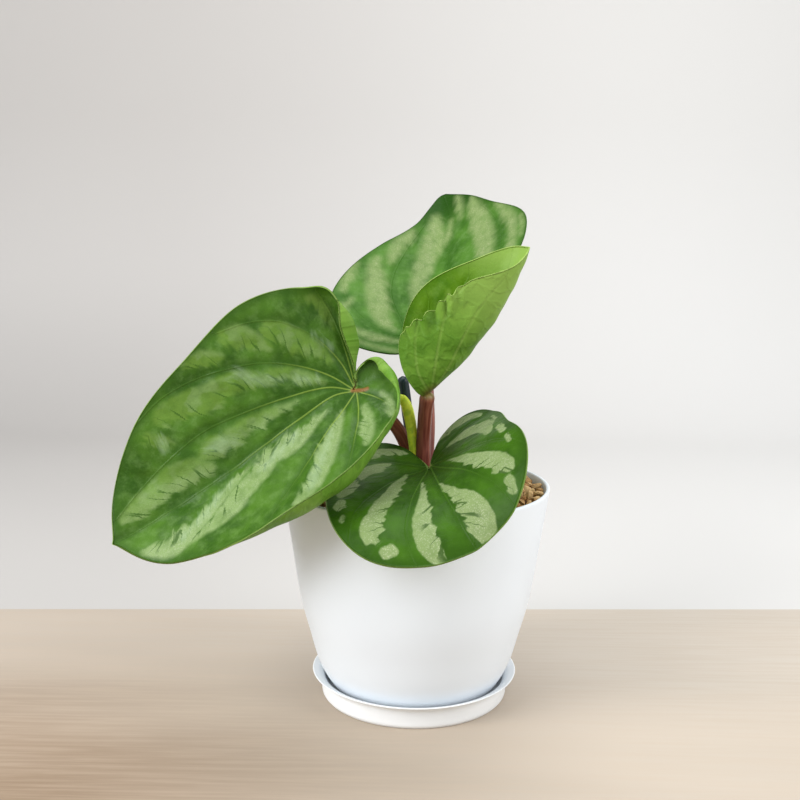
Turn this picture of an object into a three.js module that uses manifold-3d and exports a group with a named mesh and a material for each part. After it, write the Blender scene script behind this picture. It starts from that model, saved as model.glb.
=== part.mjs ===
// A potted peperomia in millimetres, +Z up: a round tapered pot on its saucer, filled with
// granules, and a young plant with four heart-shaped leaves, a new shoot and a support stake.
// The origin is the middle of the saucer's underside, and -Y is the side it is seen from.

import * as THREE from 'three';
import { mergeVertices } from 'three/addons/utils/BufferGeometryUtils.js';
import Module from 'manifold-3d';

const wasm = await Module();
wasm.setup();

// ---------------------------------------------------------------- driving dimensions

const GAP = 0.3; // air between pieces that only rest on each other
const ROUND_SIDES = 44; // facets round the pot and the saucer

// Profiles are lists of [radius, height].
const SAUCER_FLOOR = 1.5;
const SAUCER_SIDE = [[36.2, 0], [37.0, 1.0], [37.3, 4], [37.6, 7.4], [38.7, 8.8], [40.8, 9.8]];
const SAUCER_INSIDE = [[40.1, 10.1], [38, 9.2], [36.1, 7.6], [35.6, 4.2], [34.2, 1.9], [32.5, SAUCER_FLOOR]];

const POT = { wall: 1.5, floor: 2.0, rimRadius: 52.5, rimHeight: 86.2, rimRound: 0.5, innerFoot: 29 };
const POT_BASE = SAUCER_FLOOR + GAP;
const POT_FOOT = 27;
// The pot's outside, from its rounded heel up to below the rim.
const POT_SIDE = [[28.5, 2.2], [31.4, 3.6], [34.9, 8], [38.7, 15.5], [42.0, 27], [45.5, 40.4], [48.8, 61.2]];
const DRAIN = { holes: 5, radius: 3, ring: 18 };

const FILL = { level: 82.0, uneven: 0.9, pebbles: 142, pebbleSize: 3.2, spread: 47.2 };
const SEED = 7;

// The plant's crown in the granules, and each petiole: its radius at the foot and at the blade.
const CROWN = { centre: [1.2, 3.2], bottom: 52, top: 88, radius: 6.2 };
const PETIOLES = {
  leaf_large: {
    radius: [3.0, 2.3],
    path: [[-0.5, 5.5, 80], [-2, 6.2, 95], [-5, 5.5, 102], [-9.3, 2.5, 109.5], [-18.5, -6.5, 120.5],
      [-23.6, -12.1, 125.3]],
  },
  leaf_back: {
    radius: [2.8, 2.1],
    path: [[3, 5.5, 80], [4.6, 9.5, 98], [4.4, 16, 120], [2.2, 23.5, 135], [-0.1, 27.2, 141.1]],
  },
  leaf_young: {
    radius: [3.1, 2.6],
    path: [[1.9, 1, 80], [2.5, 0.5, 95], [2.8, -1.5, 108], [3.4, -5, 117], [4.4, -7.9, 124]],
  },
  leaf_front: {
    radius: [2.4, 1.9],
    path: [[1.8, -1, 80], [2.8, -8, 85.5], [4.1, -17, 90], [4.8, -21.5, 96.3]],
  },
};
const STEM_SIDES = 10;
// The shoot's radius at its foot, and how much it widens on the way to its blunt tip.
const SHOOT = {
  foot: 1.45,
  widening: 0.9,
  path: [[-0.7, 1.2, 86.5], [-0.8, 1, 97], [-1.4, 1, 103], [-2.5, 1, 110.5], [-4.2, 1, 117],
    [-6.6, 1, 121.3]],
};
const STAKE = { radius: 2.25, foot: [7.6, 12.8, 34], top: [-6, 11, 127] };

const BLADE = { middle: 1.2, margin: 0.75 }; // thickness of a blade
const MIDRIB_CREASE = 3; // how far from the midrib the fold reaches its full angle
const TIP_SPAN = THREE.MathUtils.degToRad(14);
const CURL_POWER = 1.5;

// Each blade is drawn flat in polar form round its seat on the petiole: a share of the blade's
// length for each of these angles from the tip (0) round to the notch, right side and left side.
const OUTLINE_ANGLES = [0, 8, 22, 45, 75, 110, 140, 160, 172].map(THREE.MathUtils.degToRad);

// seat: where the petiole meets the blade; heading: compass direction of the tip (0 = +Y, 90 = +X);
// rise: tip direction above level; tilt: turn about the midrib, right side up; fold and roll: how far
// each half turns up from the midrib; arch: bend along the midrib, growing with this power of the
// distance; curl: [from, full, amount], the upward turn of the margin between two outline angles;
// skew: how far the notch is turned aside; twist: turn of the blade about the midrib at its tip.
const LEAVES = {
  leaf_large: {
    seat: [-23.6, -12.1, 125.3], length: 107.4, heading: 255.5, rise: -32.1, tilt: 53.4,
    fold: 0.33, rollRight: 0.26, rollLeft: 0.29, rollReach: 30,
    arch: -0.05, archPower: 1, archBack: 0.05, skew: 1.155, twist: 0.01,
    curlFrom: 0.66, curlRight: [95, 150, 1.68], curlLeft: [12, 55, 1.62], tipCurl: 0.42,
    right: [0.993, 0.932, 0.797, 0.597, 0.498, 0.408, 0.381, 0.246, 0.036],
    left: [0.993, 0.929, 0.783, 0.676, 0.396, 0.225, 0.155, 0.135, 0.045],
  },
  leaf_back: {
    seat: [-0.1, 27.2, 141.1], length: 85.2, heading: 10.3, rise: 31.4, tilt: 6.7,
    fold: 0.42, rollRight: 0.06, rollLeft: -0.08, rollReach: 30,
    arch: 0.32, archPower: 1, archBack: 0.30, skew: 0.05, twist: 0.01,
    curlFrom: 0.66, curlRight: [20, 100, 0.2], curlLeft: [100, 150, 0.12], tipCurl: -0.08,
    right: [1.08, 1.02, 0.917, 0.821, 0.473, 0.322, 0.239, 0.211, 0.097],
    left: [1.08, 0.848, 0.714, 0.59, 0.483, 0.392, 0.237, 0.148, 0.079],
  },
  leaf_young: {
    seat: [4.4, -7.9, 124], length: 67.6, heading: 94.1, rise: 39.7, tilt: 10.2,
    fold: 0.07, rollRight: 1.50, rollLeft: 1.50, rollReach: 7.5,
    arch: 0.59, archPower: 1, archBack: 0.40, skew: 0, twist: -0.34,
    curlFrom: 0.75, curlRight: [100, 150, 0], curlLeft: [100, 150, 0], tipCurl: 0,
    right: [0.998, 0.866, 0.752, 0.534, 0.446, 0.138, 0.06, 0.048, 0.038],
    left: [0.998, 0.97, 0.854, 0.688, 0.424, 0.194, 0.07, 0.048, 0.038],
  },
  leaf_front: {
    seat: [4.8, -21.5, 96.3], length: 56.2, heading: 170.2, rise: -4.2, tilt: -22,
    fold: 0.30, rollRight: 0.05, rollLeft: -0.05, rollReach: 30,
    arch: -1.16, archPower: 2, archBack: 0.47, skew: -0.185, twist: -0.19,
    curlFrom: 0.75, curlRight: [90, 150, 0.05], curlLeft: [90, 150, -0.02], tipCurl: 0,
    right: [0.93, 0.927, 0.937, 0.945, 0.738, 0.626, 0.607, 0.462, 0.066],
    left: [0.93, 0.922, 0.92, 0.856, 0.639, 0.634, 0.646, 0.436, 0.117],
  },
};

// ---------------------------------------------------------------- colours and finishes

const finish = (color, roughness) => new THREE.MeshStandardMaterial({ color, roughness, metalness: 0 });

const WHITE_PLASTIC = () => finish(0xeef1f1, 0.45);
const TAN_GRANULE = () => finish(0xb08a5c, 0.95);
const DARK_STEM = () => finish(0x5f2823, 0.5);
const DARK_STAKE = () => finish(0x0f3b3c, 0.4);
const LEAF_GREEN = () => finish(0x3f7a26, 0.4);
const YOUNG_GREEN = () => finish(0x7daa3c, 0.4);
const SHOOT_GREEN = () => finish(0xa2b827, 0.45);

// ---------------------------------------------------------------- solids and joining

/** A closed geometry as a solid, with its shared vertices merged. */
function solid(geometry) {
  const bare = geometry.clone();
  bare.deleteAttribute('normal');
  bare.deleteAttribute('uv');
  const merged = mergeVertices(bare, 1e-4);
  return new wasm.Manifold(new wasm.Mesh({
    numProp: 3,
    vertProperties: new Float32Array(merged.attributes.position.array),
    triVerts: new Uint32Array(merged.index.array),
  }));
}

/** A solid back as a geometry. */
function geometryOf(body) {
  const mesh = body.getMesh();
  const geometry = new THREE.BufferGeometry();
  geometry.setAttribute('position', new THREE.BufferAttribute(new Float32Array(mesh.vertProperties), 3));
  geometry.setIndex(Array.from(mesh.triVerts));
  geometry.computeVertexNormals();
  return geometry;
}

/** A profile of [radius, height] turned about +Z; it starts and ends on the axis. */
function turned(profile, sides = ROUND_SIDES) {
  const points = profile.map(([radius, height]) => new THREE.Vector2(radius, height));
  return new THREE.LatheGeometry(points, sides).rotateX(Math.PI / 2);
}

/** Points of a smooth curve through [radius, height] pairs. */
function smooth(pairs, steps) {
  const curve = new THREE.SplineCurve(pairs.map(([radius, height]) => new THREE.Vector2(radius, height)));
  return curve.getPoints(steps).map((point) => [point.x, point.y]);
}

/** An upright round hole's room between two heights. */
function uprightRoom(x, y, radius, bottom, top) {
  const room = new THREE.CylinderGeometry(radius, radius, top - bottom, 14).rotateX(Math.PI / 2);
  return solid(room.translate(x, y, (bottom + top) / 2));
}

/** A round stalk along a path, its radius given by a function of 0..1, with closed round ends. */
function stalk(path, radiusAt, { sides = STEM_SIDES, steps = 14, capLength = 0.5 } = {}) {
  const curve = new THREE.CatmullRomCurve3(path.map((point) => new THREE.Vector3(...point)));
  const cap = capLength / curve.getLength();
  const middle = Array.from({ length: steps - 1 }, (_, i) => cap + (1 - 2 * cap) * (i / (steps - 2)));
  const stations = [0, cap * 0.35, ...middle, 1 - cap * 0.35, 1];
  const profile = stations.map((at, i) => {
    const fromEnd = Math.min(i, stations.length - 1 - i);
    const share = [0, 0.72][fromEnd] ?? 1;
    return new THREE.Vector2(radiusAt(at) * share, at);
  });
  const geometry = new THREE.LatheGeometry(profile, sides);
  const fine = 200;
  const frames = curve.computeFrenetFrames(fine, false);
  const position = geometry.attributes.position;
  for (let i = 0; i < position.count; i += 1) {
    const at = position.getY(i);
    const frame = Math.round(at * fine);
    const place = curve.getPointAt(at);
    place.addScaledVector(frames.normals[frame], position.getX(i));
    place.addScaledVector(frames.binormals[frame], -position.getZ(i));
    position.setXYZ(i, place.x, place.y, place.z);
  }
  return geometry;
}

/** A path whose foot is lowered a little, for the hole that the piece stands in. */
function lowered([foot, ...rest], drop) {
  return [[foot[0], foot[1], foot[2] - drop], ...rest];
}

/** Random numbers from 0 to 1 that are the same each time. */
function seededRandom(seed) {
  let state = seed;
  return () => {
    state = (state * 1664525 + 1013904223) % 4294967296;
    return state / 4294967296;
  };
}

// ---------------------------------------------------------------- saucer and pot

function saucer() {
  const outside = smooth(SAUCER_SIDE, 10);
  const inside = smooth(SAUCER_INSIDE, 8);
  return turned([[0, 0], ...outside, ...inside, [0, SAUCER_FLOOR]]);
}

/** The outside of the pot as [radius, height] points from the foot to the rim. */
function potOutside(steps = 12) {
  const { rimRadius, rimHeight, rimRound } = POT;
  return smooth([[POT_FOOT, POT_BASE], ...POT_SIDE, [rimRadius, rimHeight - rimRound]], steps);
}

function pot() {
  const { wall, floor, rimRadius, rimHeight, rimRound, innerFoot } = POT;
  const floorTop = POT_BASE + floor;
  const inside = potOutside()
    .filter(([, height]) => height > floorTop + 2)
    .map(([radius, height]) => [radius - wall, height])
    .reverse();
  const rim = [[rimRadius - rimRound, rimHeight], [rimRadius - wall + rimRound, rimHeight]];
  const shell = [[0, POT_BASE], ...potOutside(), ...rim, ...inside, [innerFoot, floorTop], [0, floorTop]];
  let body = solid(turned(shell));
  for (let i = 0; i < DRAIN.holes; i += 1) {
    const angle = (i / DRAIN.holes) * 2 * Math.PI;
    const x = DRAIN.ring * Math.cos(angle);
    const y = DRAIN.ring * Math.sin(angle);
    body = body.subtract(uprightRoom(x, y, DRAIN.radius, POT_BASE - floor, floorTop + floor));
  }
  return geometryOf(body);
}

// ---------------------------------------------------------------- blades

/** A smooth curve through the values at the outline's angles. */
function outlineAt(values, angle) {
  const last = values.length - 1;
  const slope = (i) => {
    const before = Math.max(i - 1, 0);
    const after = Math.min(i + 1, last);
    return (values[after] - values[before]) / (OUTLINE_ANGLES[after] - OUTLINE_ANGLES[before]);
  };
  let i = 0;
  while (i < last - 1 && angle >= OUTLINE_ANGLES[i + 1]) i += 1;
  const step = OUTLINE_ANGLES[i + 1] - OUTLINE_ANGLES[i];
  const t = (angle - OUTLINE_ANGLES[i]) / step;
  return (2 * t ** 3 - 3 * t ** 2 + 1) * values[i] + (t ** 3 - 2 * t ** 2 + t) * step * slope(i)
    + (3 * t ** 2 - 2 * t ** 3) * values[i + 1] + (t ** 3 - t ** 2) * step * slope(i + 1);
}

/** A [from, full, amount] ramp at an angle. */
function rampAt([from, full, amount], angle) {
  const { degToRad, smoothstep } = THREE.MathUtils;
  return amount * smoothstep(angle, degToRad(from), degToRad(full));
}

/** Walks a length along a curve whose direction turns as turnAt says: [along, up, last turn]. */
function walk(length, turnAt, steps = 16) {
  let along = 0;
  let up = 0;
  for (let i = 0; i < steps; i += 1) {
    const turn = turnAt((length * (i + 0.5)) / steps);
    along += (Math.cos(turn) * length) / steps;
    up += (Math.sin(turn) * length) / steps;
  }
  return [along, up, turnAt(length)];
}

/** The three directions of a blade at its seat: to its right, to its tip, and off its upper face. */
function bladeFrame(leaf) {
  const [heading, rise, tilt] = [leaf.heading, leaf.rise, leaf.tilt].map(THREE.MathUtils.degToRad);
  const tipward = new THREE.Vector3(Math.sin(heading), Math.cos(heading), 0).multiplyScalar(Math.cos(rise));
  tipward.z = Math.sin(rise);
  const level = new THREE.Vector3(Math.cos(heading), -Math.sin(heading), 0);
  const above = new THREE.Vector3().crossVectors(level, tipward);
  return {
    tipward,
    rightward: level.clone().multiplyScalar(Math.cos(tilt)).addScaledVector(above, Math.sin(tilt)),
    upward: above.clone().multiplyScalar(Math.cos(tilt)).addScaledVector(level, -Math.sin(tilt)),
  };
}

/** A point of a blade's middle surface; angle > 0 is the right side, reach runs 0..1 to the margin. */
function bladePoint(leaf, angle, reach) {
  const turn = Math.abs(angle);
  const right = angle >= 0;
  const radius = leaf.length * outlineAt(right ? leaf.right : leaf.left, turn);
  const tipShare = 1 - THREE.MathUtils.smoothstep(turn, 0, TIP_SPAN);
  const curl = rampAt(right ? leaf.curlRight : leaf.curlLeft, turn) + leaf.tipCurl * tipShare;
  const curled = Math.max(reach - leaf.curlFrom, 0) * radius;
  const curlSpan = (1 - leaf.curlFrom) * radius;
  const [out, lift] = walk(curled, (along) => curl * (along / curlSpan) ** CURL_POWER);
  const flat = radius * Math.min(reach, leaf.curlFrom) + out;

  const bearing = angle - leaf.skew * (turn / Math.PI) ** 3;
  const flatX = flat * Math.sin(bearing);
  const flatY = flat * Math.cos(bearing);

  const roll = right ? leaf.rollRight : leaf.rollLeft;
  const [across, high, lean] = walk(Math.abs(flatX), (along) => (
    leaf.fold * (1 - Math.exp(-along / MIDRIB_CREASE)) + roll * (1 - Math.exp(-along / leaf.rollReach))));
  const x = Math.sign(flatX) * (across - lift * Math.sin(lean));
  const raised = high + lift * Math.cos(lean);

  const [arch, power] = flatY >= 0 ? [leaf.arch, leaf.archPower] : [leaf.archBack, 1];
  const [forth, rise, slope] = walk(Math.abs(flatY), (along) => arch * (along / leaf.length) ** power);
  const y = Math.sign(flatY) * (forth - raised * Math.sin(slope));
  const z = rise + raised * Math.cos(slope);

  const twist = (leaf.twist * y) / leaf.length;
  const { tipward, rightward, upward } = bladeFrame(leaf);
  return new THREE.Vector3(...leaf.seat)
    .addScaledVector(rightward, x * Math.cos(twist) - z * Math.sin(twist))
    .addScaledVector(tipward, y)
    .addScaledVector(upward, x * Math.sin(twist) + z * Math.cos(twist));
}

/** The direction that a blade's upper face looks in at a point. */
function bladeNormal(leaf, angle, reach) {
  const small = 0.01;
  const end = OUTLINE_ANGLES.at(-1) - small;
  const a = THREE.MathUtils.clamp(angle, -end, end);
  const r = THREE.MathUtils.clamp(reach, 0.03, 1 - small);
  const across = bladePoint(leaf, a + small, r).sub(bladePoint(leaf, a - small, r));
  const outward = bladePoint(leaf, a, r + small).sub(bladePoint(leaf, a, r - small));
  return across.cross(outward).normalize();
}

/** A closed blade: the same triangles on the upper and the lower face, and a narrow margin between. */
function blade(leaf) {
  const columns = 42;
  const nearMargin = (share) => leaf.curlFrom + (1 - leaf.curlFrom) * share;
  const reaches = [0.14, 0.3, 0.46, leaf.curlFrom - 0.03, ...[0.34, 0.6, 0.82, 1].map(nearMargin)];
  const end = OUTLINE_ANGLES.at(-1);
  const angles = Array.from({ length: columns + 1 }, (_, i) => {
    const share = (2 * i) / columns - 1;
    return Math.sign(share) * Math.abs(share) ** 1.2 * end;
  });
  const faces = { top: [], bottom: [] };
  const addPoint = (angle, reach) => {
    const middle = bladePoint(leaf, angle, reach);
    const normal = reach === 0 ? bladeFrame(leaf).upward : bladeNormal(leaf, angle, reach);
    const half = (BLADE.middle + (BLADE.margin - BLADE.middle) * reach) / 2;
    faces.top.push(middle.clone().addScaledVector(normal, half));
    faces.bottom.push(middle.clone().addScaledVector(normal, -half));
  };
  addPoint(0, 0);
  for (const reach of reaches) {
    for (const angle of angles) addPoint(angle, reach);
  }
  const points = [...faces.top, ...faces.bottom];
  const below = faces.top.length;
  const at = (ring, column) => (ring < 0 ? 0 : 1 + ring * (columns + 1) + column);
  const triangles = [];
  const both = (a, b, c) => triangles.push(a, c, b, a + below, b + below, c + below);
  const wall = (a, b) => triangles.push(a, b, b + below, a, b + below, a + below);
  const outer = reaches.length - 1;
  for (let column = 0; column < columns; column += 1) {
    both(0, at(0, column), at(0, column + 1));
    for (let ring = 0; ring < outer; ring += 1) {
      both(at(ring, column), at(ring + 1, column), at(ring + 1, column + 1));
      both(at(ring, column), at(ring + 1, column + 1), at(ring, column + 1));
    }
    wall(at(outer, column), at(outer, column + 1));
  }
  for (let ring = -1; ring < outer; ring += 1) {
    wall(at(ring, 0), at(ring + 1, 0));
    wall(at(ring + 1, columns), at(ring, columns));
  }
  const geometry = new THREE.BufferGeometry();
  geometry.setAttribute('position', new THREE.Float32BufferAttribute(points.flatMap((p) => p.toArray()), 3));
  geometry.setIndex(triangles);
  geometry.computeVertexNormals();
  return geometry;
}

// ---------------------------------------------------------------- stems, shoot and stake

const petioleRadius = ([foot, head]) => (at) => foot + (head - foot) * at;
const shootRadius = (at) => (SHOOT.foot + SHOOT.widening * at) * Math.sqrt(1 - at ** 10) + 0.1;

/** The new shoot; grown by extra, it is the room that the shoot needs in the crown. */
function shoot(extra = 0) {
  return stalk(lowered(SHOOT.path, extra), (at) => shootRadius(at) + extra, { steps: 12, capLength: 1 });
}

/** The support stake; grown by extra, it is the hole that the stake stands in. */
function stake(extra = 0) {
  const { radius, foot, top } = STAKE;
  const options = { sides: 12, steps: 4, capLength: 1.6 };
  return stalk(lowered([foot, top], extra), () => radius + extra, options);
}

/** The crown and its petioles as one solid; grown by extra, it is the hole they stand in. */
function crownAndPetioles(extra = 0) {
  const { centre, bottom, top, radius: crownRadius } = CROWN;
  const axis = [[...centre, bottom - extra], [...centre, top]];
  let body = solid(stalk(axis, () => crownRadius + extra, { steps: 5, capLength: 2.5, sides: 14 }));
  for (const { radius, path } of Object.values(PETIOLES)) {
    const radiusAt = petioleRadius(radius);
    body = body.add(solid(stalk(path, (at) => radiusAt(at) + extra)));
  }
  return body;
}

/** The room from just under a blade's seat upward, where its petiole may not reach. */
function seatRoom(leaf) {
  const size = 7;
  const room = new THREE.CylinderGeometry(size, size, 2 * size, 16);
  room.translate(0, size - BLADE.middle / 2 - GAP, 0);
  const turn = new THREE.Quaternion().setFromUnitVectors(new THREE.Vector3(0, 1, 0), bladeFrame(leaf).upward);
  room.applyQuaternion(turn);
  return solid(room.translate(...leaf.seat));
}

function stems() {
  let body = crownAndPetioles().subtract(solid(shoot(GAP)));
  for (const leaf of Object.values(LEAVES)) body = body.subtract(seatRoom(leaf));
  return geometryOf(body);
}

// ---------------------------------------------------------------- granules

/** One chipped granule: a rounded lump of random size and proportions. */
function pebble(random, x, y, z) {
  const geometry = new THREE.IcosahedronGeometry(FILL.pebbleSize * (0.82 + 0.5 * random()), 0);
  geometry.scale(1, 0.75 + 0.25 * random(), 0.7 + 0.25 * random());
  geometry.rotateX(random() * Math.PI);
  geometry.rotateZ(random() * Math.PI);
  geometry.translate(x, y, z);
  return solid(geometry);
}

/** The space inside the pot, a gap clear of it, from its floor up to a height. */
function potInside(level) {
  const { wall, floor, rimRadius, rimHeight, innerFoot } = POT;
  const inset = wall + GAP;
  const bottom = POT_BASE + floor + GAP;
  const side = potOutside()
    .filter(([, height]) => height > bottom + 2 && height < FILL.level - 2)
    .map(([radius, height]) => [radius - inset, height]);
  const [shoulderRadius, shoulderHeight] = POT_SIDE.at(-1);
  const taper = (rimRadius - shoulderRadius) / (rimHeight - shoulderHeight);
  const topRadius = rimRadius - inset - taper * (rimHeight - level);
  return solid(turned([[0, bottom], [innerFoot, bottom], ...side, [topRadius, level], [0, level]]));
}

function granules() {
  let body = potInside(FILL.level);
  const random = seededRandom(SEED);
  const golden = Math.PI * (3 - Math.sqrt(5));
  for (let i = 0; i < FILL.pebbles; i += 1) {
    const reach = FILL.spread * Math.sqrt((i + 0.5) / FILL.pebbles);
    const angle = i * golden + 0.25 * random();
    const height = FILL.level - FILL.uneven * random();
    body = body.add(pebble(random, reach * Math.cos(angle), reach * Math.sin(angle), height));
  }
  body = body.intersect(potInside(POT.rimHeight));
  const { centre, bottom, top, radius } = CROWN;
  body = body.subtract(uprightRoom(...centre, radius + GAP, bottom - GAP, top));
  body = body.subtract(crownAndPetioles(GAP));
  body = body.subtract(solid(stake(GAP)));
  return geometryOf(body);
}

// ---------------------------------------------------------------- the object

const plant = new THREE.Group();

function addMesh(name, geometry, material) {
  const mesh = new THREE.Mesh(geometry, material);
  mesh.name = name;
  plant.add(mesh);
}

addMesh('saucer', saucer(), WHITE_PLASTIC());
addMesh('pot', pot(), WHITE_PLASTIC());
addMesh('granules', granules(), TAN_GRANULE());
addMesh('stake', stake(), DARK_STAKE());
addMesh('stems', stems(), DARK_STEM());
addMesh('new_shoot', shoot(), SHOOT_GREEN());
for (const [name, leaf] of Object.entries(LEAVES)) {
  addMesh(name, blade(leaf), name === 'leaf_young' ? YOUNG_GREEN() : LEAF_GREEN());
}

export default plant;
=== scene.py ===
import math

import bmesh
import bpy
import numpy as np
from mathutils import Matrix


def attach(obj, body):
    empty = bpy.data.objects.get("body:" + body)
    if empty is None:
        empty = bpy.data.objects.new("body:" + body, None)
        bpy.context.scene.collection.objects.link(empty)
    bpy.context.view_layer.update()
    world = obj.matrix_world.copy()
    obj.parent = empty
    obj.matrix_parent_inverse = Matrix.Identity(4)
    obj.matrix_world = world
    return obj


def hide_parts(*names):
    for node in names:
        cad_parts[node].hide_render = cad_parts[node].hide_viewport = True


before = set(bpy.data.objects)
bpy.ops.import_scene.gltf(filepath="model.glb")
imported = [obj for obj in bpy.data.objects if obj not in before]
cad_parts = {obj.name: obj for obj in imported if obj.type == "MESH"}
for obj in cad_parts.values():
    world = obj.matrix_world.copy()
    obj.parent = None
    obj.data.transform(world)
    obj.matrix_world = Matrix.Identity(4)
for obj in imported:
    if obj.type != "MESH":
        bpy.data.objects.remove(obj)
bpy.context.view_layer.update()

# Lengths are in millimetres until mesh_object turns them into metres.
MM = 0.001

# ---------------------------------------------------------------- camera and stage

PICTURE = 800  # pixels, square
CAMERA = {"place": (0, -420, 189), "pitch": 9.44, "yaw": -0.91, "roll": 0.55, "focal_pixels": 1090}
SENSOR = 36.0

FLOOR_EDGE = 91.0  # where the pale wood ends behind the pot
FLOOR_SLANT = 0.042  # how far that edge runs away to the right, per millimetre
FLOOR_THICKNESS = 0.6
SWEEP = {"half_width": 1500.0, "front": -1200.0, "bend": 500.0, "radius": 300.0, "top": 1500.0}
SKY = {"colour": (0.95, 0.975, 1.0, 1.0), "strength": 0.6}

# Each light: its name, its place, the point it faces, its size and its power.
LIGHTS = [
    ("window_left", (-700, -500, 650), (0, 0, 90), 700, 8.0),
    ("low_left", (-680, -300, 190), (0, 0, 40), 280, 1.6),
    ("window_right", (750, -350, 600), (0, 0, 90), 700, 5.6),
    ("overhead", (0, 150, 1000), (0, 0, 90), 600, 3.4),
]

# ---------------------------------------------------------------- pot, saucer and fill

SAUCER_FLOOR = 1.5
SAUCER_SIDE = [(36.2, 0), (37.0, 1.0), (37.3, 4), (37.6, 7.4), (38.7, 8.8), (40.8, 9.8)]
SAUCER_LIP = [(40.95, 10.05), (40.6, 10.25)]
SAUCER_INSIDE = [(40.1, 10.1), (38, 9.2), (36.1, 7.6), (35.6, 4.2), (34.2, 1.9), (32.5, SAUCER_FLOOR)]

POT_WALL, POT_FLOOR, POT_RIM_RADIUS, POT_RIM_HEIGHT = 1.5, 2.0, 52.5, 86.2
POT_BASE, POT_FOOT, POT_INNER_FOOT = 1.8, 27.0, 29.0
RIM_ROUND = 0.55  # height of the rounding on the rim
POT_SIDE = [(28.5, 2.2), (31.4, 3.6), (34.9, 8), (38.7, 15.5), (42.0, 27), (45.5, 40.4), (48.8, 61.2)]
DRAIN = {"holes": 5, "radius": 3.0, "ring": 18.0}
ROUND_STEPS = 192

# The granules start at random between low and high and are pushed apart for some rounds; chips is how
# many flat cuts each has.
BED_LEVEL = 82.0
GRANULES = {"count": 820, "radius": (1.35, 2.35), "spread": 49.4, "low": 81.4, "high": 83.8, "top": 86.0,
            "rounds": 140, "chips": 11}
FRONT_PETIOLE_AT_FILL = (2.6, -6.0, 2.6)  # x, y and radius

# ---------------------------------------------------------------- crown, petioles, shoot and stake

CROWN = {"centre": (1.2, 3.2), "bottom": 52.0, "top": 88.0, "radius": 6.2}
NARROWED, WIDENED = (-0.55, 0.035), (0.26, 0.1)  # by this share of the radius, over this share of the way

# The petioles of the large, the back, the young and the front leaf: the radius at the foot and at the
# head, how it changes near the head, and the path.
PETIOLES = [
    (3.0, 2.3, NARROWED, [(-0.5, 5.5, 80), (-2, 6.2, 95), (-5, 5.5, 102), (-9.3, 2.5, 109.5),
                          (-18.5, -6.5, 120.5), (-23.6, -12.1, 125.3)]),
    (2.8, 2.1, NARROWED, [(3, 5.5, 80), (4.6, 9.5, 98), (4.4, 16, 120), (2.2, 23.5, 135),
                          (-0.1, 27.2, 141.1)]),
    (3.1, 2.6, WIDENED, [(1.9, 1, 80), (2.5, 0.5, 95), (2.8, -1.5, 108), (3.4, -5, 117),
                         (4.0, -7.6, 123.5)]),
    (2.4, 1.9, NARROWED, [(1.8, -1, 80), (2.8, -8, 85.5), (4.1, -17, 90), (4.8, -21.5, 96.3)]),
]
SHOOT = {"foot": 1.45, "widening": 0.9, "path": [(-0.7, 1.2, 86.5), (-0.8, 1, 97), (-1.4, 1, 103),
                                                 (-2.5, 1, 110.5), (-4.2, 1, 117), (-6.6, 1, 121.3)]}
STAKE = {"radius": 2.25, "foot": (7.6, 12.8, 34), "top": (-6.0, 11, 127)}

# ---------------------------------------------------------------- leaves

BLADE_MIDDLE, BLADE_MARGIN = 1.1, 0.6
MARGIN_SETBACK = 0.3  # how far both faces end before the rim between them
MIDRIB = 3  # its place among a leaf's veins
BAND_APART = 9.7  # keeps the noise of one silver band from that of the next
MIDRIB_CREASE = 3.0
TIP_SPAN = math.radians(14)
CURL_POWER = 1.5
HEM_ARC = 2.6
NO_HEM = (100, 120, 140, 0, 0, 0)
NOTCH_SPAN = np.radians([158, 172])
OUTLINE_ANGLES = np.radians([0, 8, 22, 45, 75, 110, 140, 160, 172])

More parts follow.
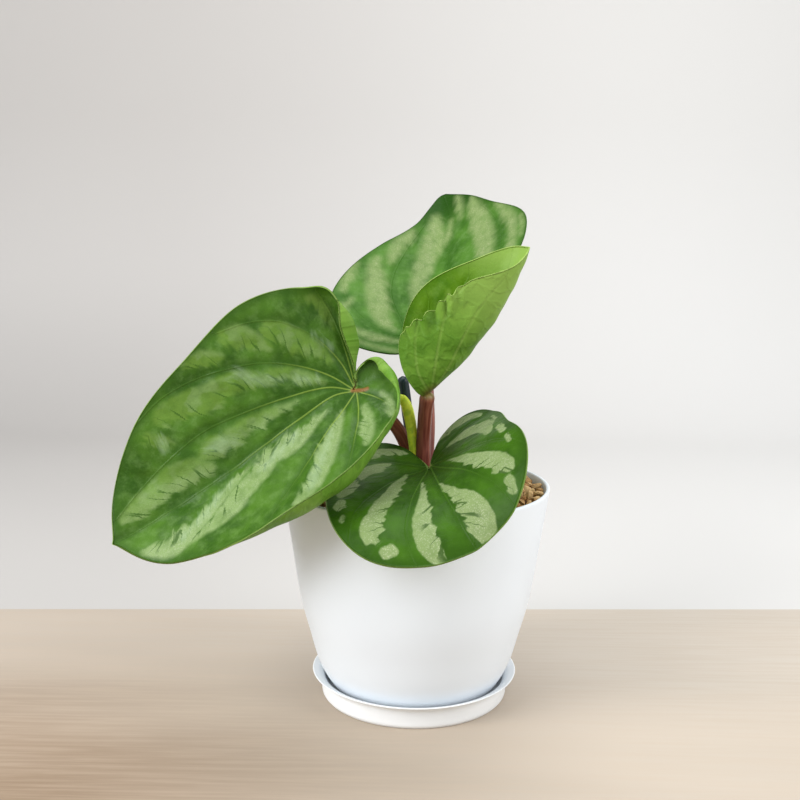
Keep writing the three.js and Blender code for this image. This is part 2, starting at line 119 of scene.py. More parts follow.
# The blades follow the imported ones, apart from the young leaf's outline, which is a little fuller.
# seat: where the petiole meets the blade; heading: compass direction of the tip; rise: tip direction
# above level; tilt: turn about the midrib, and twist: how much it grows towards the tip; fold and roll:
# how far each half turns up from the midrib; arch and arch_back: bend along the midrib before and behind
# the seat; curl: (from, full, amount), the upward turn of the margin between two outline angles, from the
# share curl_from of the reach outward; skew: how far the notch is turned aside; right, left: the outline
# as shares of the length at OUTLINE_ANGLES; closing: how far the notch's sides are drawn together;
# round_tip: over how many degrees each way the corner at the tip is softened; hem_right, hem_left: (from,
# peak, to, outward, rise, back), where and how far the margin rolls over itself, in degrees and mm.
LEAVES = {
    "leaf_large": dict(
        seat=(-23.6, -12.1, 125.3), length=107.4, heading=255.5, rise=-32.1, tilt=53.4,
        fold=0.33, roll_right=0.26, roll_left=0.29, roll_reach=30,
        arch=-0.05, arch_power=1, arch_back=0.05, skew=1.155, twist=0.01,
        curl_from=0.66, curl_right=(95, 150, 1.68), curl_left=(12, 55, 1.62), tip_curl=0.42,
        right=[0.993, 0.932, 0.797, 0.597, 0.498, 0.408, 0.381, 0.246, 0.036],
        left=[0.993, 0.929, 0.783, 0.676, 0.396, 0.225, 0.155, 0.135, 0.045],
        closing=0.12,
        hem_right=(144, 162, 172, 4.4, 2.4, 2.6), hem_left=(88, 124, 174, 1.6, 4.6, 0)),
    "leaf_back": dict(
        seat=(-0.1, 27.2, 141.1), length=85.2, heading=10.3, rise=31.4, tilt=6.7,
        fold=0.42, roll_right=0.06, roll_left=-0.08, roll_reach=30,
        arch=0.32, arch_power=1, arch_back=0.30, skew=0.05, twist=0.01,
        curl_from=0.66, curl_right=(20, 100, 0.2), curl_left=(100, 150, 0.12), tip_curl=-0.08,
        round_tip=1.3,
        right=[1.08, 1.02, 0.917, 0.821, 0.473, 0.322, 0.239, 0.211, 0.097],
        left=[1.08, 0.848, 0.714, 0.59, 0.483, 0.392, 0.237, 0.148, 0.079]),
    "leaf_young": dict(
        seat=(4.4, -7.9, 124.0), length=67.6, heading=94.1, rise=39.7, tilt=10.2,
        fold=0.07, roll_right=1.50, roll_left=1.50, roll_reach=7.5,
        arch=0.59, arch_power=1, arch_back=0.40, skew=0, twist=-0.34,
        curl_from=0.75, curl_right=(100, 150, 0), curl_left=(100, 150, 0), tip_curl=0,
        right=[0.998, 0.866, 0.752, 0.534, 0.40, 0.138, 0.06, 0.048, 0.038],
        left=[0.998, 0.97, 0.854, 0.70, 0.47, 0.215, 0.07, 0.048, 0.038]),
    "leaf_front": dict(
        seat=(4.8, -21.5, 96.3), length=56.2, heading=170.2, rise=-4.2, tilt=-22.0,
        fold=0.30, roll_right=0.05, roll_left=-0.05, roll_reach=30,
        arch=-1.16, arch_power=2, arch_back=0.47, skew=-0.185, twist=-0.19,
        curl_from=0.75, curl_right=(90, 150, 0.05), curl_left=(90, 150, -0.02), tip_curl=0,
        right=[0.93, 0.927, 0.937, 0.945, 0.738, 0.626, 0.607, 0.462, 0.066],
        left=[0.93, 0.922, 0.92, 0.856, 0.639, 0.634, 0.646, 0.436, 0.117]),
}

# Veins and silver bands, drawn on the flattened blades: x to the right and y to the tip, from the seat.
# seat: the scar where the petiole meets the blade; a vein is a curve from the base through its points; a
# band has points with their half widths, and so have the glints, streaks of painted highlight on the
# bands' crests.
PATTERNS = {}
PATTERNS["leaf_large"] = dict(
    base=(-1, 0),
    seat=[(-0.2, 1.2), (-2.2, -1.8), (-3.2, -3.8)],
    veins=[
        [(-10, -5), (-22, -7.5), (-34, -7)],
        [(-11, 4.5), (-20, 10), (-31, 18), (-42, 28)],
        [(-7, 12), (-14, 24), (-22, 37), (-32, 50), (-40, 58)],
        [(2.2, 8), (2, 25), (0.6, 50), (0, 75), (0, 106)],
        [(6, 8), (12, 25), (16, 42), (18, 56), (16.5, 72), (13, 88), (9, 100)],
        [(10, 5.5), (20, 14), (27.5, 24), (32, 34), (36, 48), (37, 62), (34, 76)],
        [(12, -1), (26, 2.5), (37, 10), (43, 20), (46, 32)],
        [(14, -5), (28, -8), (40, -8)],
    ],
    bands=[
        [(-1.5, 14, .8), (-3, 20, 2), (-5, 27, 3.6), (-5.2, 33, 4.6), (-5, 39, 4.4), (-6, 44, 2.5)],
        [(-7, 41, 2.5), (-8.5, 46, 4.4), (-10.5, 51, 4.6), (-13, 57, 4.8), (-15.8, 63, 4.6),
         (-17.3, 70, 3.6), (-18, 77, 2.2), (-18.2, 83, 1)],
        [(-3, 50, 1), (-5, 56, 2.2), (-7.5, 62, 2.8), (-10, 68, 3), (-12.2, 74, 3.4), (-14.3, 80, 4.4),
         (-15.5, 86, 4.8), (-14, 92, 3.4), (-11.5, 97, 1.5)],
        [(-5.5, 9, .8), (-10, 13, 2.6), (-15, 17.5, 3.6), (-20, 22.5, 4.2), (-26, 28.5, 4), (-31, 34, 3.6),
         (-34.5, 41, 1.8)],
        [(-10, 1, 1), (-14, 2.5, 2.2), (-19, 4.5, 3), (-24, 6.5, 2.6), (-28, 9, 1.2)],
        [(-9, -7, 1), (-15, -7.5, 1.4), (-22, -5, 1.4)],
        [(8, 21, .7), (9, 28, 1.8), (10, 35, 2.8), (10.5, 42, 3.4), (10.2, 49, 3.6)],
        [(9.8, 52, 3.4), (10.6, 56, 4.4), (10, 61, 2)],
        [(5.5, 62, 2.4), (8.5, 68, 4.4), (9.5, 76, 4.8), (8.5, 84, 4.4), (8, 91, 3.6), (7.5, 98, 1.6)],
        [(9, 8.5, 1), (12.5, 12, 2.4), (17, 16.5, 3), (20.5, 21, 2.8), (22.5, 24.5, 1.6)],
        [(20, 25, 1.5), (24, 30, 3.4), (27, 36, 4), (27.5, 43, 4.8), (28, 50, 5.4), (30, 57, 5),
         (31.5, 64, 3.6), (32, 68, 1.2)],
        [(14, 1.5, 1), (20, 4, 2.8), (27, 7.5, 3.6), (33, 11, 3.6), (37, 15, 3)],
        [(31, 19, 1.5), (36, 22, 3.6), (41, 26, 4.2), (44, 30, 2)],
        [(38, 36, 2), (41, 41, 3), (42, 48, 2)],
        [(20, 68, 1), (24, 71, 2.4), (28, 74, 1.6)],
        [(24, -5.5, 1.2), (31, -6, 2.4), (38, -5, 1.6)],
    ],
    glints=[
        [(-4, 57, 1), (-8, 66, 2), (-12, 75, 2.2), (-15, 83, 1.6)],
        [(9, 47, 1), (10.5, 54, 2.8), (12, 59, 1.4)],
        [(18, 21, 1.2), (23, 28, 2), (29, 34, 1.8), (30, 38, 1)],
        [(-9, 14, 1), (-17, 21, 1.8), (-25, 29, 1.8), (-31, 34, 1.6)],
        [(11, 10, 1.2), (15, 16, 1.6)],
        [(-3, 28, 1.2), (-6, 37, 2), (-8, 46, 1.6)],
        [(20, 72, 1), (24, 71, 1.6)],
        [(18, -1, .8), (26, 1, 1)],
    ])
PATTERNS["leaf_back"] = dict(
    base=(0, -4),
    seat=[(0, -4), (0, -2)],
    veins=[
        [(-12, -8), (-26, -8), (-38, 2)],
        [(-14, -1), (-27, 7), (-35, 20), (-38, 34)],
        [(-8, 8), (-15, 23), (-16, 38), (-12, 56), (-6, 72)],
        [(4, 15), (7.5, 35), (8.5, 52), (6.5, 72), (0, 93)],
        [(15, 1), (29, 12), (36, 28), (36.5, 46), (31, 62), (23, 74)],
        [(14, -8), (30, -6), (44, 8), (49, 28)],
    ],
    bands=[
        [(-3, 12, 1), (-4, 19, 1.4), (-4.5, 25, 2.2), (-4.6, 31, 3.4), (-4.2, 40, 3.9), (-2.8, 49, 4.8),
         (-1.2, 58, 5.4), (-0.5, 65, 5), (-0.8, 71, 3.6), (-1.5, 77, 1.6)],
        [(3.5, 57, 1), (5.5, 62, 2), (6.5, 67, 1.6), (6.5, 72, .8)],
        [(-10.5, 2, 1.2), (-14.2, 4.5, 3), (-17.5, 10, 4.4), (-20.6, 20, 4.9), (-22.6, 30, 4.5),
         (-24.4, 40, 3), (-24.6, 45, 1.4)],
        [(-18.8, 44, 1), (-17.9, 50, 2.6), (-15.8, 57, 3), (-12.8, 62, 2.6), (-11.5, 66, 1.2)],
        [(-35.5, 20, 1.2), (-35.3, 26, 2.2), (-34.5, 33, 2), (-33, 39, 1.2)],
        [(-31, 15, .8), (-33, 8, 1.6), (-33, 1, 2.2), (-30, -4.5, 2.4), (-23, -6.3, 2.2), (-14, -6.2, 1.8),
         (-7, -5, .8)],
        [(-30, -9.5, 1), (-22, -12.3, 1.2), (-12, -12.6, 1.2), (-4, -12, 1)],
        [(7, 4, .8), (12, 9, 1.5), (20, 19, 2.5), (26, 29, 3.8), (29.3, 38, 4.2), (28.4, 45, 4.8),
         (27, 52, 5), (24.5, 60, 5), (21.8, 68, 4.4), (19.5, 75, 2.8), (18, 80, 1.2)],
        [(12.5, 71, 1.2), (11, 79, 1.8), (9, 86, 1)],
        [(20, 1.5, 1), (29, 7, 2), (36, 15, 2.2), (40.5, 25, 2.2), (43, 34, 2.2), (43.4, 41, 2.3),
         (42.3, 48, 2.6), (40, 56, 2.6), (36, 63, 2.4), (32.5, 69, 1.4)],
        [(47.5, 38, .8), (47.5, 46, 1.2), (46, 52, .8)],
        [(10, -8.5, .8), (20, -9.5, 1.6), (30, -8, 1.6), (37, -3, 1.4)],
    ])
PATTERNS["leaf_front"] = dict(
    base=(-1, -3.5),
    seat=[(-1, -3.5), (-1, -2.5)],
    veins=[
        [(-9, -9), (-19, -14), (-30, -15)],
        [(-10, 2), (-20, 10.5), (-29, 21), (-34, 32)],
        [(-8, 13), (-14, 27), (-18, 38), (-19, 48)],
        [(-0.5, 20), (0, 53)],
        [(5, 10), (12.5, 25), (19, 38), (21, 48)],
        [(11, 4), (23, 14), (33, 25), (38, 34)],
        [(9, -11), (20, -14), (32, -9), (38, 0)],
    ],
    bands=[
        [(-0.8, 17, .5), (-2.2, 23, 1.4), (-4, 29, 2.4), (-6, 35.5, 4.4), (-7, 41.5, 5.2),
         (-6.4, 46.5, 4.6), (-5.6, 49.5, 2)],
        [(4.8, 12, .4), (6.3, 20.5, 1.2), (9, 28.5, 2.4), (12, 36.5, 3.7), (13.3, 44, 4.3),
         (13, 48.5, 2.8)],
        [(-8, 3.5, .5), (-11.5, 10, 1.9), (-15, 17, 3.1), (-19.2, 24.2, 3.8), (-22.5, 30, 4.2),
         (-24.6, 34, 3.4)],
        [(9, 2, .6), (12.8, 8.5, 2.1), (17, 15.5, 2.6), (21.8, 21.8, 2.9), (26, 28, 3.4), (29.5, 33, 3.8),
         (31.5, 35.5, 1.8)],
        [(-25.5, 8, 1.2), (-27, 4, 3), (-26.5, -1, 3.8), (-24, -6, 4.2), (-19.5, -9, 3.8),
         (-14.5, -10, 2.4), (-10.5, -9.5, .8)],
        [(13.5, -11, 1.2), (17, -9.5, 2.8), (21.5, -5.5, 3.6), (24.5, -1, 2.4), (25.5, 2, 1)],
        [(28.5, 3.5, 1.2), (30.5, 7, 3), (33, 10.5, 3), (35, 13, 1.4)],
        [(-9, -18.5, 1), (-13, -21, 2.6), (-18, -22.5, 3.2), (-24, -21.5, 2.8), (-27.5, -18, 1.4)],
        [(5.5, -19.5, 1), (9, -21.5, 2.6), (13.5, -22, 2.6), (17.5, -20.5, 2.4), (24, -17, 1.4)],
        [(-30.5, 15.5, 1.4), (-30.8, 9.5, 1.8)],
        [(-30.4, 24.5, 1), (-30.6, 20.5, 1.1)],
        [(-22.8, 39.5, 1.8), (-21.6, 42.5, 1.9)],
        [(25.8, 41, 2), (28.3, 41, 2)],
        [(35.5, 17.5, 2), (37.2, 19.5, 1.6)],
        [(36.2, 24.5, .9), (37.6, 26, .9)],
        [(-31, -7, 1), (-31.5, -2, 1)],
    ])
PATTERNS["leaf_young"] = dict(
    base=(0, 0),
    seat=[(0, 0), (0, 1)],
    veins=[
        [(-12, 4), (-22, 14), (-29, 27)],
        [(-7, 8), (-15, 22), (-20, 36), (-20, 46)],
        [(-3, 10), (-8, 25), (-10, 40), (-7, 54)],
        [(0, 20), (0, 40), (0, 65)],
        [(4, 10), (9, 25), (11, 40), (8, 54)],
        [(8, 8), (16, 20), (21, 33), (20, 44)],
        [(12, 3), (22, 12), (29, 24)],
    ],
    bands=[
        [(side * x, y, half) for x, y, half in band]
        for band in ([(4, 16, .5), (9, 28, 1.6), (13, 38, 1.8), (13, 46, .8)],
                     [(8, 10, .5), (15, 18, 1.6), (21, 28, 1.8), (24, 36, .8)])
        for side in (-1, 1)
    ])

# Relief of each blade: how deep and wide its vein lines are, how far it bulges between them, its waves
# and its quilting, and the size of its mesh's steps.
RELIEF = {
    "leaf_large": dict(depth=0.5, width=1.9, bulge=0.7, wave=0.8, wave_size=17, quilt=0.34, step=0.62),
    "leaf_back": dict(depth=0.28, width=1.6, bulge=0.3, wave=0.4, wave_size=19, quilt=0.06, step=0.62),
    "leaf_young": dict(depth=0.22, width=1.1, bulge=0.18, wave=0.25, wave_size=14, quilt=0.26, step=0.55),
    "leaf_front": dict(depth=0.24, width=1.5, bulge=0.25, wave=0.35, wave_size=16, quilt=0.1, step=0.5),
}
QUILT_SIZE = 5.2
WALK_STEPS = 16

# The crumpled stretch of the young leaf's right margin: where it comes in and goes out, as outline
# angles; its depth from the margin as a share of the reach; how far it stands off and draws back.
RUFFLE = {"comes": (20, 36), "goes": (58, 80), "depth": 0.66, "length": 6.6, "height": 1.2, "dent": 0.05}


# ---------------------------------------------------------------- numbers and curves

def hermite(t, start, leave, end, arrive):
    """The cubic from start to end with these slopes; t goes from 0 to 1."""
    return ((2 * t**3 - 3 * t**2 + 1) * start + (t**3 - 2 * t**2 + t) * leave
            + (3 * t**2 - 2 * t**3) * end + (t**3 - t**2) * arrive)


def smooth_curve(points, step):
    """A centripetal Catmull-Rom curve through the points, sampled about every step."""
    points = np.asarray(points, float)
    run = np.vstack([2 * points[0] - points[1], points, 2 * points[-1] - points[-2]])
    samples = []
    for before, start, end, after in zip(run, run[1:], run[2:], run[3:]):
        k0, k1, k2 = (math.sqrt(np.linalg.norm(b - a)) for a, b in
                      ((before, start), (start, end), (end, after)))
        leave = k1 * ((start - before) / k0 - (end - before) / (k0 + k1) + (end - start) / k1)
        arrive = k1 * ((end - start) / k1 - (after - start) / (k1 + k2) + (after - end) / k2)
        count = max(2, math.ceil(np.linalg.norm(end - start) / step))
        t = np.linspace(0, 1, count, endpoint=False)[:, None]
        samples.append(hermite(t, start, leave, end, arrive))
    return np.vstack([*samples, points[-1:]])


def lengths_along(curve):
    """How far along the curve each of its points lies."""
    return np.concatenate([[0], np.cumsum(np.linalg.norm(np.diff(curve, axis=0), axis=1))])


def resample(curve, count):
    """The same curve with its points spread evenly, and their shares of the length."""
    lengths = lengths_along(curve)
    shares = np.linspace(0, 1, count)
    even = [np.interp(shares * lengths[-1], lengths, column) for column in curve.T]
    return np.stack(even, axis=1), shares


def smoothstep(value, low, high):
    share = np.clip((value - low) / (high - low), 0, 1)
    return share * share * (3 - 2 * share)


def flat_noise(points, size, seed):
    """Smooth random values from -1 to 1 over flat points; size is the distance between its knots."""
    table = np.random.default_rng(seed).uniform(-1, 1, (64, 64))
    place = points / size
    cell = np.floor(place).astype(int)
    share = place - cell
    share = share * share * (3 - 2 * share)
    x0, y0 = cell[..., 0] % 64, cell[..., 1] % 64
    x1, y1 = (x0 + 1) % 64, (y0 + 1) % 64
    across = share[..., 0]
    low = table[x0, y0] * (1 - across) + table[x1, y0] * across
    high = table[x0, y1] * (1 - across) + table[x1, y1] * across
    return low * (1 - share[..., 1]) + high * share[..., 1]


def unit(vectors):
    return vectors / np.maximum(np.linalg.norm(vectors, axis=-1, keepdims=True), 1e-12)


# ---------------------------------------------------------------- meshes

def mesh_object(name, points, faces, materials, *, fields=None, slots=None, corner_uv=None, sharp=None):
    """An object at the origin from points in millimetres, with fields of numbers on its points."""
    mesh = bpy.data.meshes.new(name)
    mesh.from_pydata((np.asarray(points) * MM).tolist(), [], faces)
    for field, values in (fields or {}).items():
        values = np.asarray(values, np.float32)
        if values.ndim == 1:
            mesh.attributes.new(field, "FLOAT", "POINT").data.foreach_set("value", values)
        else:
            mesh.attributes.new(field, "FLOAT_VECTOR", "POINT").data.foreach_set("vector", values.ravel())
    for material in materials:
        mesh.materials.append(material)
    if slots is not None:
        mesh.polygons.foreach_set("material_index", np.asarray(slots, np.int32))
    if corner_uv is not None:
        mesh.uv_layers.new(name="OFBake").data.foreach_set("uv", np.asarray(corner_uv, np.float32).ravel())
    mesh.polygons.foreach_set("use_smooth", np.ones(len(mesh.polygons), bool))
    if sharp is not None:
        mesh.set_sharp_from_angle(angle=math.radians(sharp))
    mesh.update()
    piece = bpy.data.objects.new(name, mesh)
    bpy.context.scene.collection.objects.link(piece)
    return piece


def keep(piece, slot, *nodes):
    """The piece rides on the object's one body and stands for these CAD nodes."""
    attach(piece, "root")
    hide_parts(*nodes)


def grid_faces(rows, columns, start=0, *, around=False, flip=False):
    """Quads of a grid of points; around closes each row on itself."""
    index = np.arange(rows * columns).reshape(rows, columns) + start
    if around:
        index = np.hstack([index, index[:, :1]])
    quads = np.stack([index[:-1, :-1], index[:-1, 1:], index[1:, 1:], index[1:, :-1]], axis=-1)
    quads = quads.reshape(-1, 4)
    return (quads[:, ::-1] if flip else quads).tolist()


def end_fans(rows, columns):
    """Triangles that close both ends of a tube of points with the two points that follow it."""
    first, last, top = rows * columns, rows * columns + 1, (rows - 1) * columns
    faces = []
    for i in range(columns):
        j = (i + 1) % columns
        faces += [[first, j, i], [last, top + i, top + j]]
    return faces


def lathe(profile, steps=ROUND_STEPS):
    """A closed turned shape; the profile of (radius, height) starts and ends on the axis."""
    profile = np.asarray(profile, float)
    turn = np.linspace(0, 2 * math.pi, steps, endpoint=False)
    ring = profile[1:-1]
    x = ring[:, :1] * np.cos(turn)
    y = ring[:, :1] * np.sin(turn)
    z = np.repeat(ring[:, 1:], steps, axis=1)
    points = np.stack([x, y, z], axis=-1).reshape(-1, 3)
    points = np.vstack([points, (0, 0, profile[0, 1]), (0, 0, profile[-1, 1])])
    return points, grid_faces(len(ring), steps, around=True) + end_fans(len(ring), steps)


def sweep(path, radius_at, *, sides, steps):
    """A closed round stalk along a path, with each point's share of the way and turn about it."""
    middle, along = resample(smooth_curve(path, 0.5), steps)
    tangents = unit(np.gradient(middle, axis=0))
    normal = unit(np.cross(tangents[0], (0.31, 0.95, 0.05)))
    normals = []
    for tangent in tangents:
        normal = unit(normal - tangent * np.dot(normal, tangent))
        normals.append(normal)
    normals = np.array(normals)
    binormals = np.cross(tangents, normals)
    share, angle = np.meshgrid(along, np.linspace(0, 2 * math.pi, sides, endpoint=False), indexing="ij")
    radius = radius_at(share, angle)
    length = np.linalg.norm(np.diff(middle, axis=0), axis=1).sum()
    blunt = np.clip(np.minimum(share, 1 - share) * length / np.mean(radius), 0, 1)
    radius = radius * np.sqrt(1 - (1 - blunt) ** 2 * 0.98)
    points = (middle[:, None] + normals[:, None] * (np.cos(angle) * radius)[..., None]
              + binormals[:, None] * (np.sin(angle) * radius)[..., None]).reshape(-1, 3)
    points = np.vstack([points, middle[0], middle[-1]])
    faces = grid_faces(steps, sides, around=True) + end_fans(steps, sides)
    fields = {"along": np.append(share.ravel(), [0, 1]), "around": np.append(angle.ravel(), [0, 0])}
    return points, faces, fields


def joined(parts):
    """Several (points, faces, fields) as one."""
    points, faces, fields = [], [], {}
    count = 0
    for part_points, part_faces, part_fields in parts:
        faces.extend([[corner + count for corner in face] for face in part_faces])
        points.append(part_points)
        count += len(part_points)
        for name, values in part_fields.items():
            fields.setdefault(name, []).append(values)
    return np.vstack(points), faces, {name: np.concatenate(values) for name, values in fields.items()}


# ---------------------------------------------------------------- materials

def srgb(red, green, blue):
    """A linear colour from screen values of 0-255."""
    linear = [((v / 255 + 0.055) / 1.055) ** 2.4 if v > 10 else v / 255 / 12.92 for v in (red, green, blue)]
    return (*linear, 1.0)


class Graph:
    """A procedural material made by short calls; a value is a number, a colour or another node's output.

    A colour is a tuple of screen values of 0-255.
    """

    def __init__(self, name, **settings):
        self.material = bpy.data.materials.new(name)
        self.material.use_nodes = True
        self.tree = self.material.node_tree
        self.shader = self.tree.nodes["Principled BSDF"]
        for socket, value in settings.items():
            self.shader.inputs[socket.replace("_", " ")].default_value = value

    def add(self, kind, inputs, output=0, **properties):
        """A new node; inputs are by name or number, and one output is given back."""
        node = self.tree.nodes.new("ShaderNode" + kind)
        for name, value in properties.items():
            setattr(node, name, value)
        for socket, value in inputs.items():
            self.feed(node.inputs[socket], value)
        return node.outputs[output]

    def feed(self, socket, value):
        if isinstance(value, bpy.types.NodeSocket):
            self.tree.links.new(value, socket)
        else:
            socket.default_value = srgb(*value) if socket.type == "RGBA" else value

    def math(self, operation, a, b=0.0, c=0.0):
        return self.add("Math", {0: a, 1: b, 2: c}, operation=operation)

    def scaled(self, value, gain, base=0.0):
        return self.math("MULTIPLY_ADD", value, gain, base)

    def mix(self, share, a, b):
        return self.add("Mix", {0: share, 6: a, 7: b}, output=2, data_type="RGBA")

    def step(self, value, low, high, start=0.0, end=1.0):
        """A smooth step from start to end as the value goes from low to high."""
        inputs = {"Value": value, "From Min": low, "From Max": high, "To Min": start, "To Max": end}
        return self.add("MapRange", inputs, interpolation_type="SMOOTHSTEP")

    def layers(self, colour, *layers):
        """The colour under others, each (value, low, high, start, end, colour): its share is that step."""
        for *step, other in layers:
            colour = self.mix(self.step(*step), colour, other)
        return colour

    def noise(self, vector, size, detail=2.0, roughness=0.5, distortion=0.0, output=0):
        """Noise of 0-1 with lumps of about this size."""
        inputs = {"Vector": vector, "Scale": 1 / size, "Detail": detail, "Roughness": roughness,
                  "Distortion": distortion}
        return self.add("TexNoise", inputs, output)

    def swing(self, *settings, **more):
        """Noise around 0."""
        return self.math("SUBTRACT", self.noise(*settings, **more), 0.5)

    def cells(self, vector, size, feature="F1"):
        return self.add("TexVoronoi", {"Vector": vector, "Scale": 1 / size}, feature=feature)

    def field(self, name, output=2):
        return self.add("Attribute", {}, output, attribute_name=name)

    def vector_field(self, name):
        return self.field(name, output=1)

    def parts(self, vector):
        return self.add("SeparateXYZ", {0: vector}, slice(None))

    def combine(self, x, y, z):
        return self.add("CombineXYZ", {0: x, 1: y, 2: z})

    def place(self):
        """The object's own coordinates in millimetres."""
        return self.add("VectorMath", {0: self.add("TexCoord", {}, output=3), 3: 1 / MM}, operation="SCALE")

    def bump(self, height, depth, **more):
        """A bump whose height of 0-1 stands for this depth in millimetres; more may name its Normal."""
        return self.add("Bump", {"Height": height, "Distance": depth * MM, "Strength": 1.0, **more})

    def finish(self, colour, rough, normal=None):
        """The material; its roughness is a (value, gain, base)."""
        self.feed(self.shader.inputs["Base Color"], colour)
        self.feed(self.shader.inputs["Roughness"], self.scaled(*rough))
        if normal is not None:
            self.feed(self.shader.inputs["Normal"], normal)
        return self.material


def leaf_upper(name, *, gloss, dark, mid, silver, silver_dim, soft, fringe, line, line_share, line_reach,
               heart, lip, veiled=0.2, cracked=0.85, painted_sheen=None, glint=None, shade_dimming=None, tip=None):
    """A blade's upper face: green with silver bands between the veins, and sunken vein lines.

    veiled is how much green shows through the bands in patches and cracked how dark the cracks in them
    are; painted_sheen is the (share, colour) of paler patches on the green, painted sheen standing in for
    light reflected off the leaf; glint is the colour of the painted highlight on the bands' crests, and
    lip that of the thin margin. shade_dimming is (from, to, colour), where the silver is painted dimmer
    and greener on the way to the right, as painted shade, and tip (from, to, 0, share, colour), where the
    green changes towards the tip.
    """
    g = Graph(name, Specular_IOR_Level=gloss)
    flat = g.vector_field("flat")
    right, tipward, _ = g.parts(flat)
    vein = g.math("ABSOLUTE", g.field("vein"))
    reach = g.field("reach")
    edge = g.field("edge")
    along, across, number = g.parts(g.vector_field("band"))

    slanted = g.combine(g.scaled(across, 0.9, along), g.scaled(across, 0.3), number)
    feathered = g.scaled(g.step(across, -1.0, 2.5, 0.12, 1.0), fringe)
    cut = g.scaled(g.swing(slanted, 4.2, detail=1.6), feathered)
    shape = g.math("ADD", g.scaled(g.swing(flat, 2.6), 1.0, g.field("silver")), cut)
    veil = g.noise(flat, 5.0, detail=3.0, roughness=0.6)
    band = g.scaled(g.step(shape, -soft, soft), g.step(veil, 0.42, 0.68, 1.0, 1.0 - veiled))

    cracks = g.math("ABSOLUTE", g.swing(slanted, 6.4, detail=1.0, roughness=0.4, distortion=0.3))
    crack = g.scaled(g.step(cracks, 0.006, 0.024, 1.0, 0.0), g.step(across, -2.0, 1.5, 0.0, cracked))

    mottle = g.noise(flat, 2.2, detail=3.0, roughness=0.55)
    green = g.layers(dark, (g.noise(flat, 14.0), 0.35, 0.65, mid), (mottle, 0.35, 0.75, 0.0, 0.3, mid))
    # Paler patches on the green: painted sheen, standing in for light reflected off the leaf.
    if painted_sheen:
        sheen_patches = g.noise(flat, 4.5, detail=4.0, roughness=0.65)
        green = g.layers(green, (sheen_patches, 0.42, 0.72, 0.0, *painted_sheen))
    halo = g.scaled(g.step(vein, 0.3, 3.4, 0.7, 0.0), g.step(reach, 0.3, 1.0, 1.0, 0.4))
    green = g.layers(g.mix(halo, green, dark), (edge, 0.5, 5.0, 0.6, 0.0, dark))
    if tip:
        green = g.layers(green, (tipward, *tip))

    grains = g.cells(flat, 0.55)
    pale = g.layers(silver, (grains, 0.12, 0.5, 0.0, 0.8, silver_dim),
                    (g.noise(flat, 6.0), 0.35, 0.7, 0.0, 0.55, silver_dim))
    # Painted shade: the silver is painted dimmer and greener towards the right, where the bands catch less
    # shine.
    if shade_dimming:
        *fading, shaded_silver = shade_dimming
        left_over = g.step(g.noise(g.combine(along, across, number), 7.0), 0.46, 0.6, 0.0, 0.75)
        pale = g.mix(g.step(right, *fading), pale, g.mix(left_over, shaded_silver, silver_dim))
        band = g.scaled(band, g.step(right, *fading, 1.0, 0.75))
    colour = g.mix(band, green, g.mix(crack, pale, dark))
    # Painted highlight: pale shine painted along the glint streaks on the bands' crests.
    if glint:
        flow = g.swing(slanted, 3.0, detail=3.0, roughness=0.6, distortion=0.4)
        colour = g.layers(colour, (g.scaled(flow, 9.0, g.field("glint")), -1.5, 2.8, 0.0, 0.34, glint))

    streak = g.step(reach, 0.12, line_reach, line_share, 0.06 * line_share)
    streak = g.scaled(g.step(vein, 0.12, 0.42, 1.0, 0.0), streak)
    colour = g.layers(g.mix(streak, colour, line), (edge, 0.05, 0.55, 0.9, 0.0, lip),
                      (g.field("heart"), 0.3, 1.2, 0.9, 0.0, heart))

    fine = g.noise(flat, 0.5, detail=3.0, roughness=0.6)
    ripple = g.bump(g.noise(flat, 2.4), 0.2, Normal=g.bump(grains, 0.04))
    relief = g.bump(g.step(vein, 0.0, 0.5), 0.1, Normal=ripple)
    return g.finish(colour, (band, 0.05, g.scaled(fine, 0.12, 0.33)), relief)


def leaf_under(name, *, body, pale, vein_colour, vein_share, heart, blotch, net_share, tip=None):
    """A blade's underside: pale and matt, with raised veins, a net of veinlets and a flushed base.

    tip is (from, to, 0, share, colour), where the blade changes on the way to its tip.
    """
    g = Graph(name, Specular_IOR_Level=0.15)
    flat = g.vector_field("flat")
    vein = g.math("ABSOLUTE", g.field("vein"))
    fine = g.noise(flat, 0.8, detail=4.0, roughness=0.65)
    bend = g.noise(flat, 5.0, output=1)
    warped = g.add("VectorMath", {0: bend, 1: (5.0, 5.0, 5.0), 2: flat}, operation="MULTIPLY_ADD")
    net = g.cells(warped, 6.5, "DISTANCE_TO_EDGE")
    colour = g.layers(body, (g.noise(flat, 12.0, detail=3.0), 0.35, 0.65, pale),
                      (fine, 0.35, 0.75, 0.0, 0.35, pale),
                      (g.noise(flat, 4.2, detail=3.0), 0.48, 0.75, 0.0, 0.6, blotch),
                      (net, 0.01, 0.12, net_share, 0.0, blotch))
    if tip:
        colour = g.layers(colour, (g.parts(flat)[1], *tip))
    rib = g.step(g.field("reach"), 0.2, 1.0, vein_share, 0.3 * vein_share)
    rib = g.scaled(g.step(vein, 0.15, 0.8, 1.0, 0.0), rib)
    colour = g.layers(g.mix(rib, colour, vein_colour), (g.field("heart"), 1.0, 6.0, 0.9, 0.0, heart))
    ridge = g.bump(g.step(vein, 0.1, 0.9, 1.0, 0.0), 0.16, Normal=g.bump(fine, 0.07))
    meshwork = g.bump(g.step(net, 0.0, 0.16), 0.14, Normal=ridge)
    return g.finish(colour, (fine, 0.15, 0.4), meshwork)


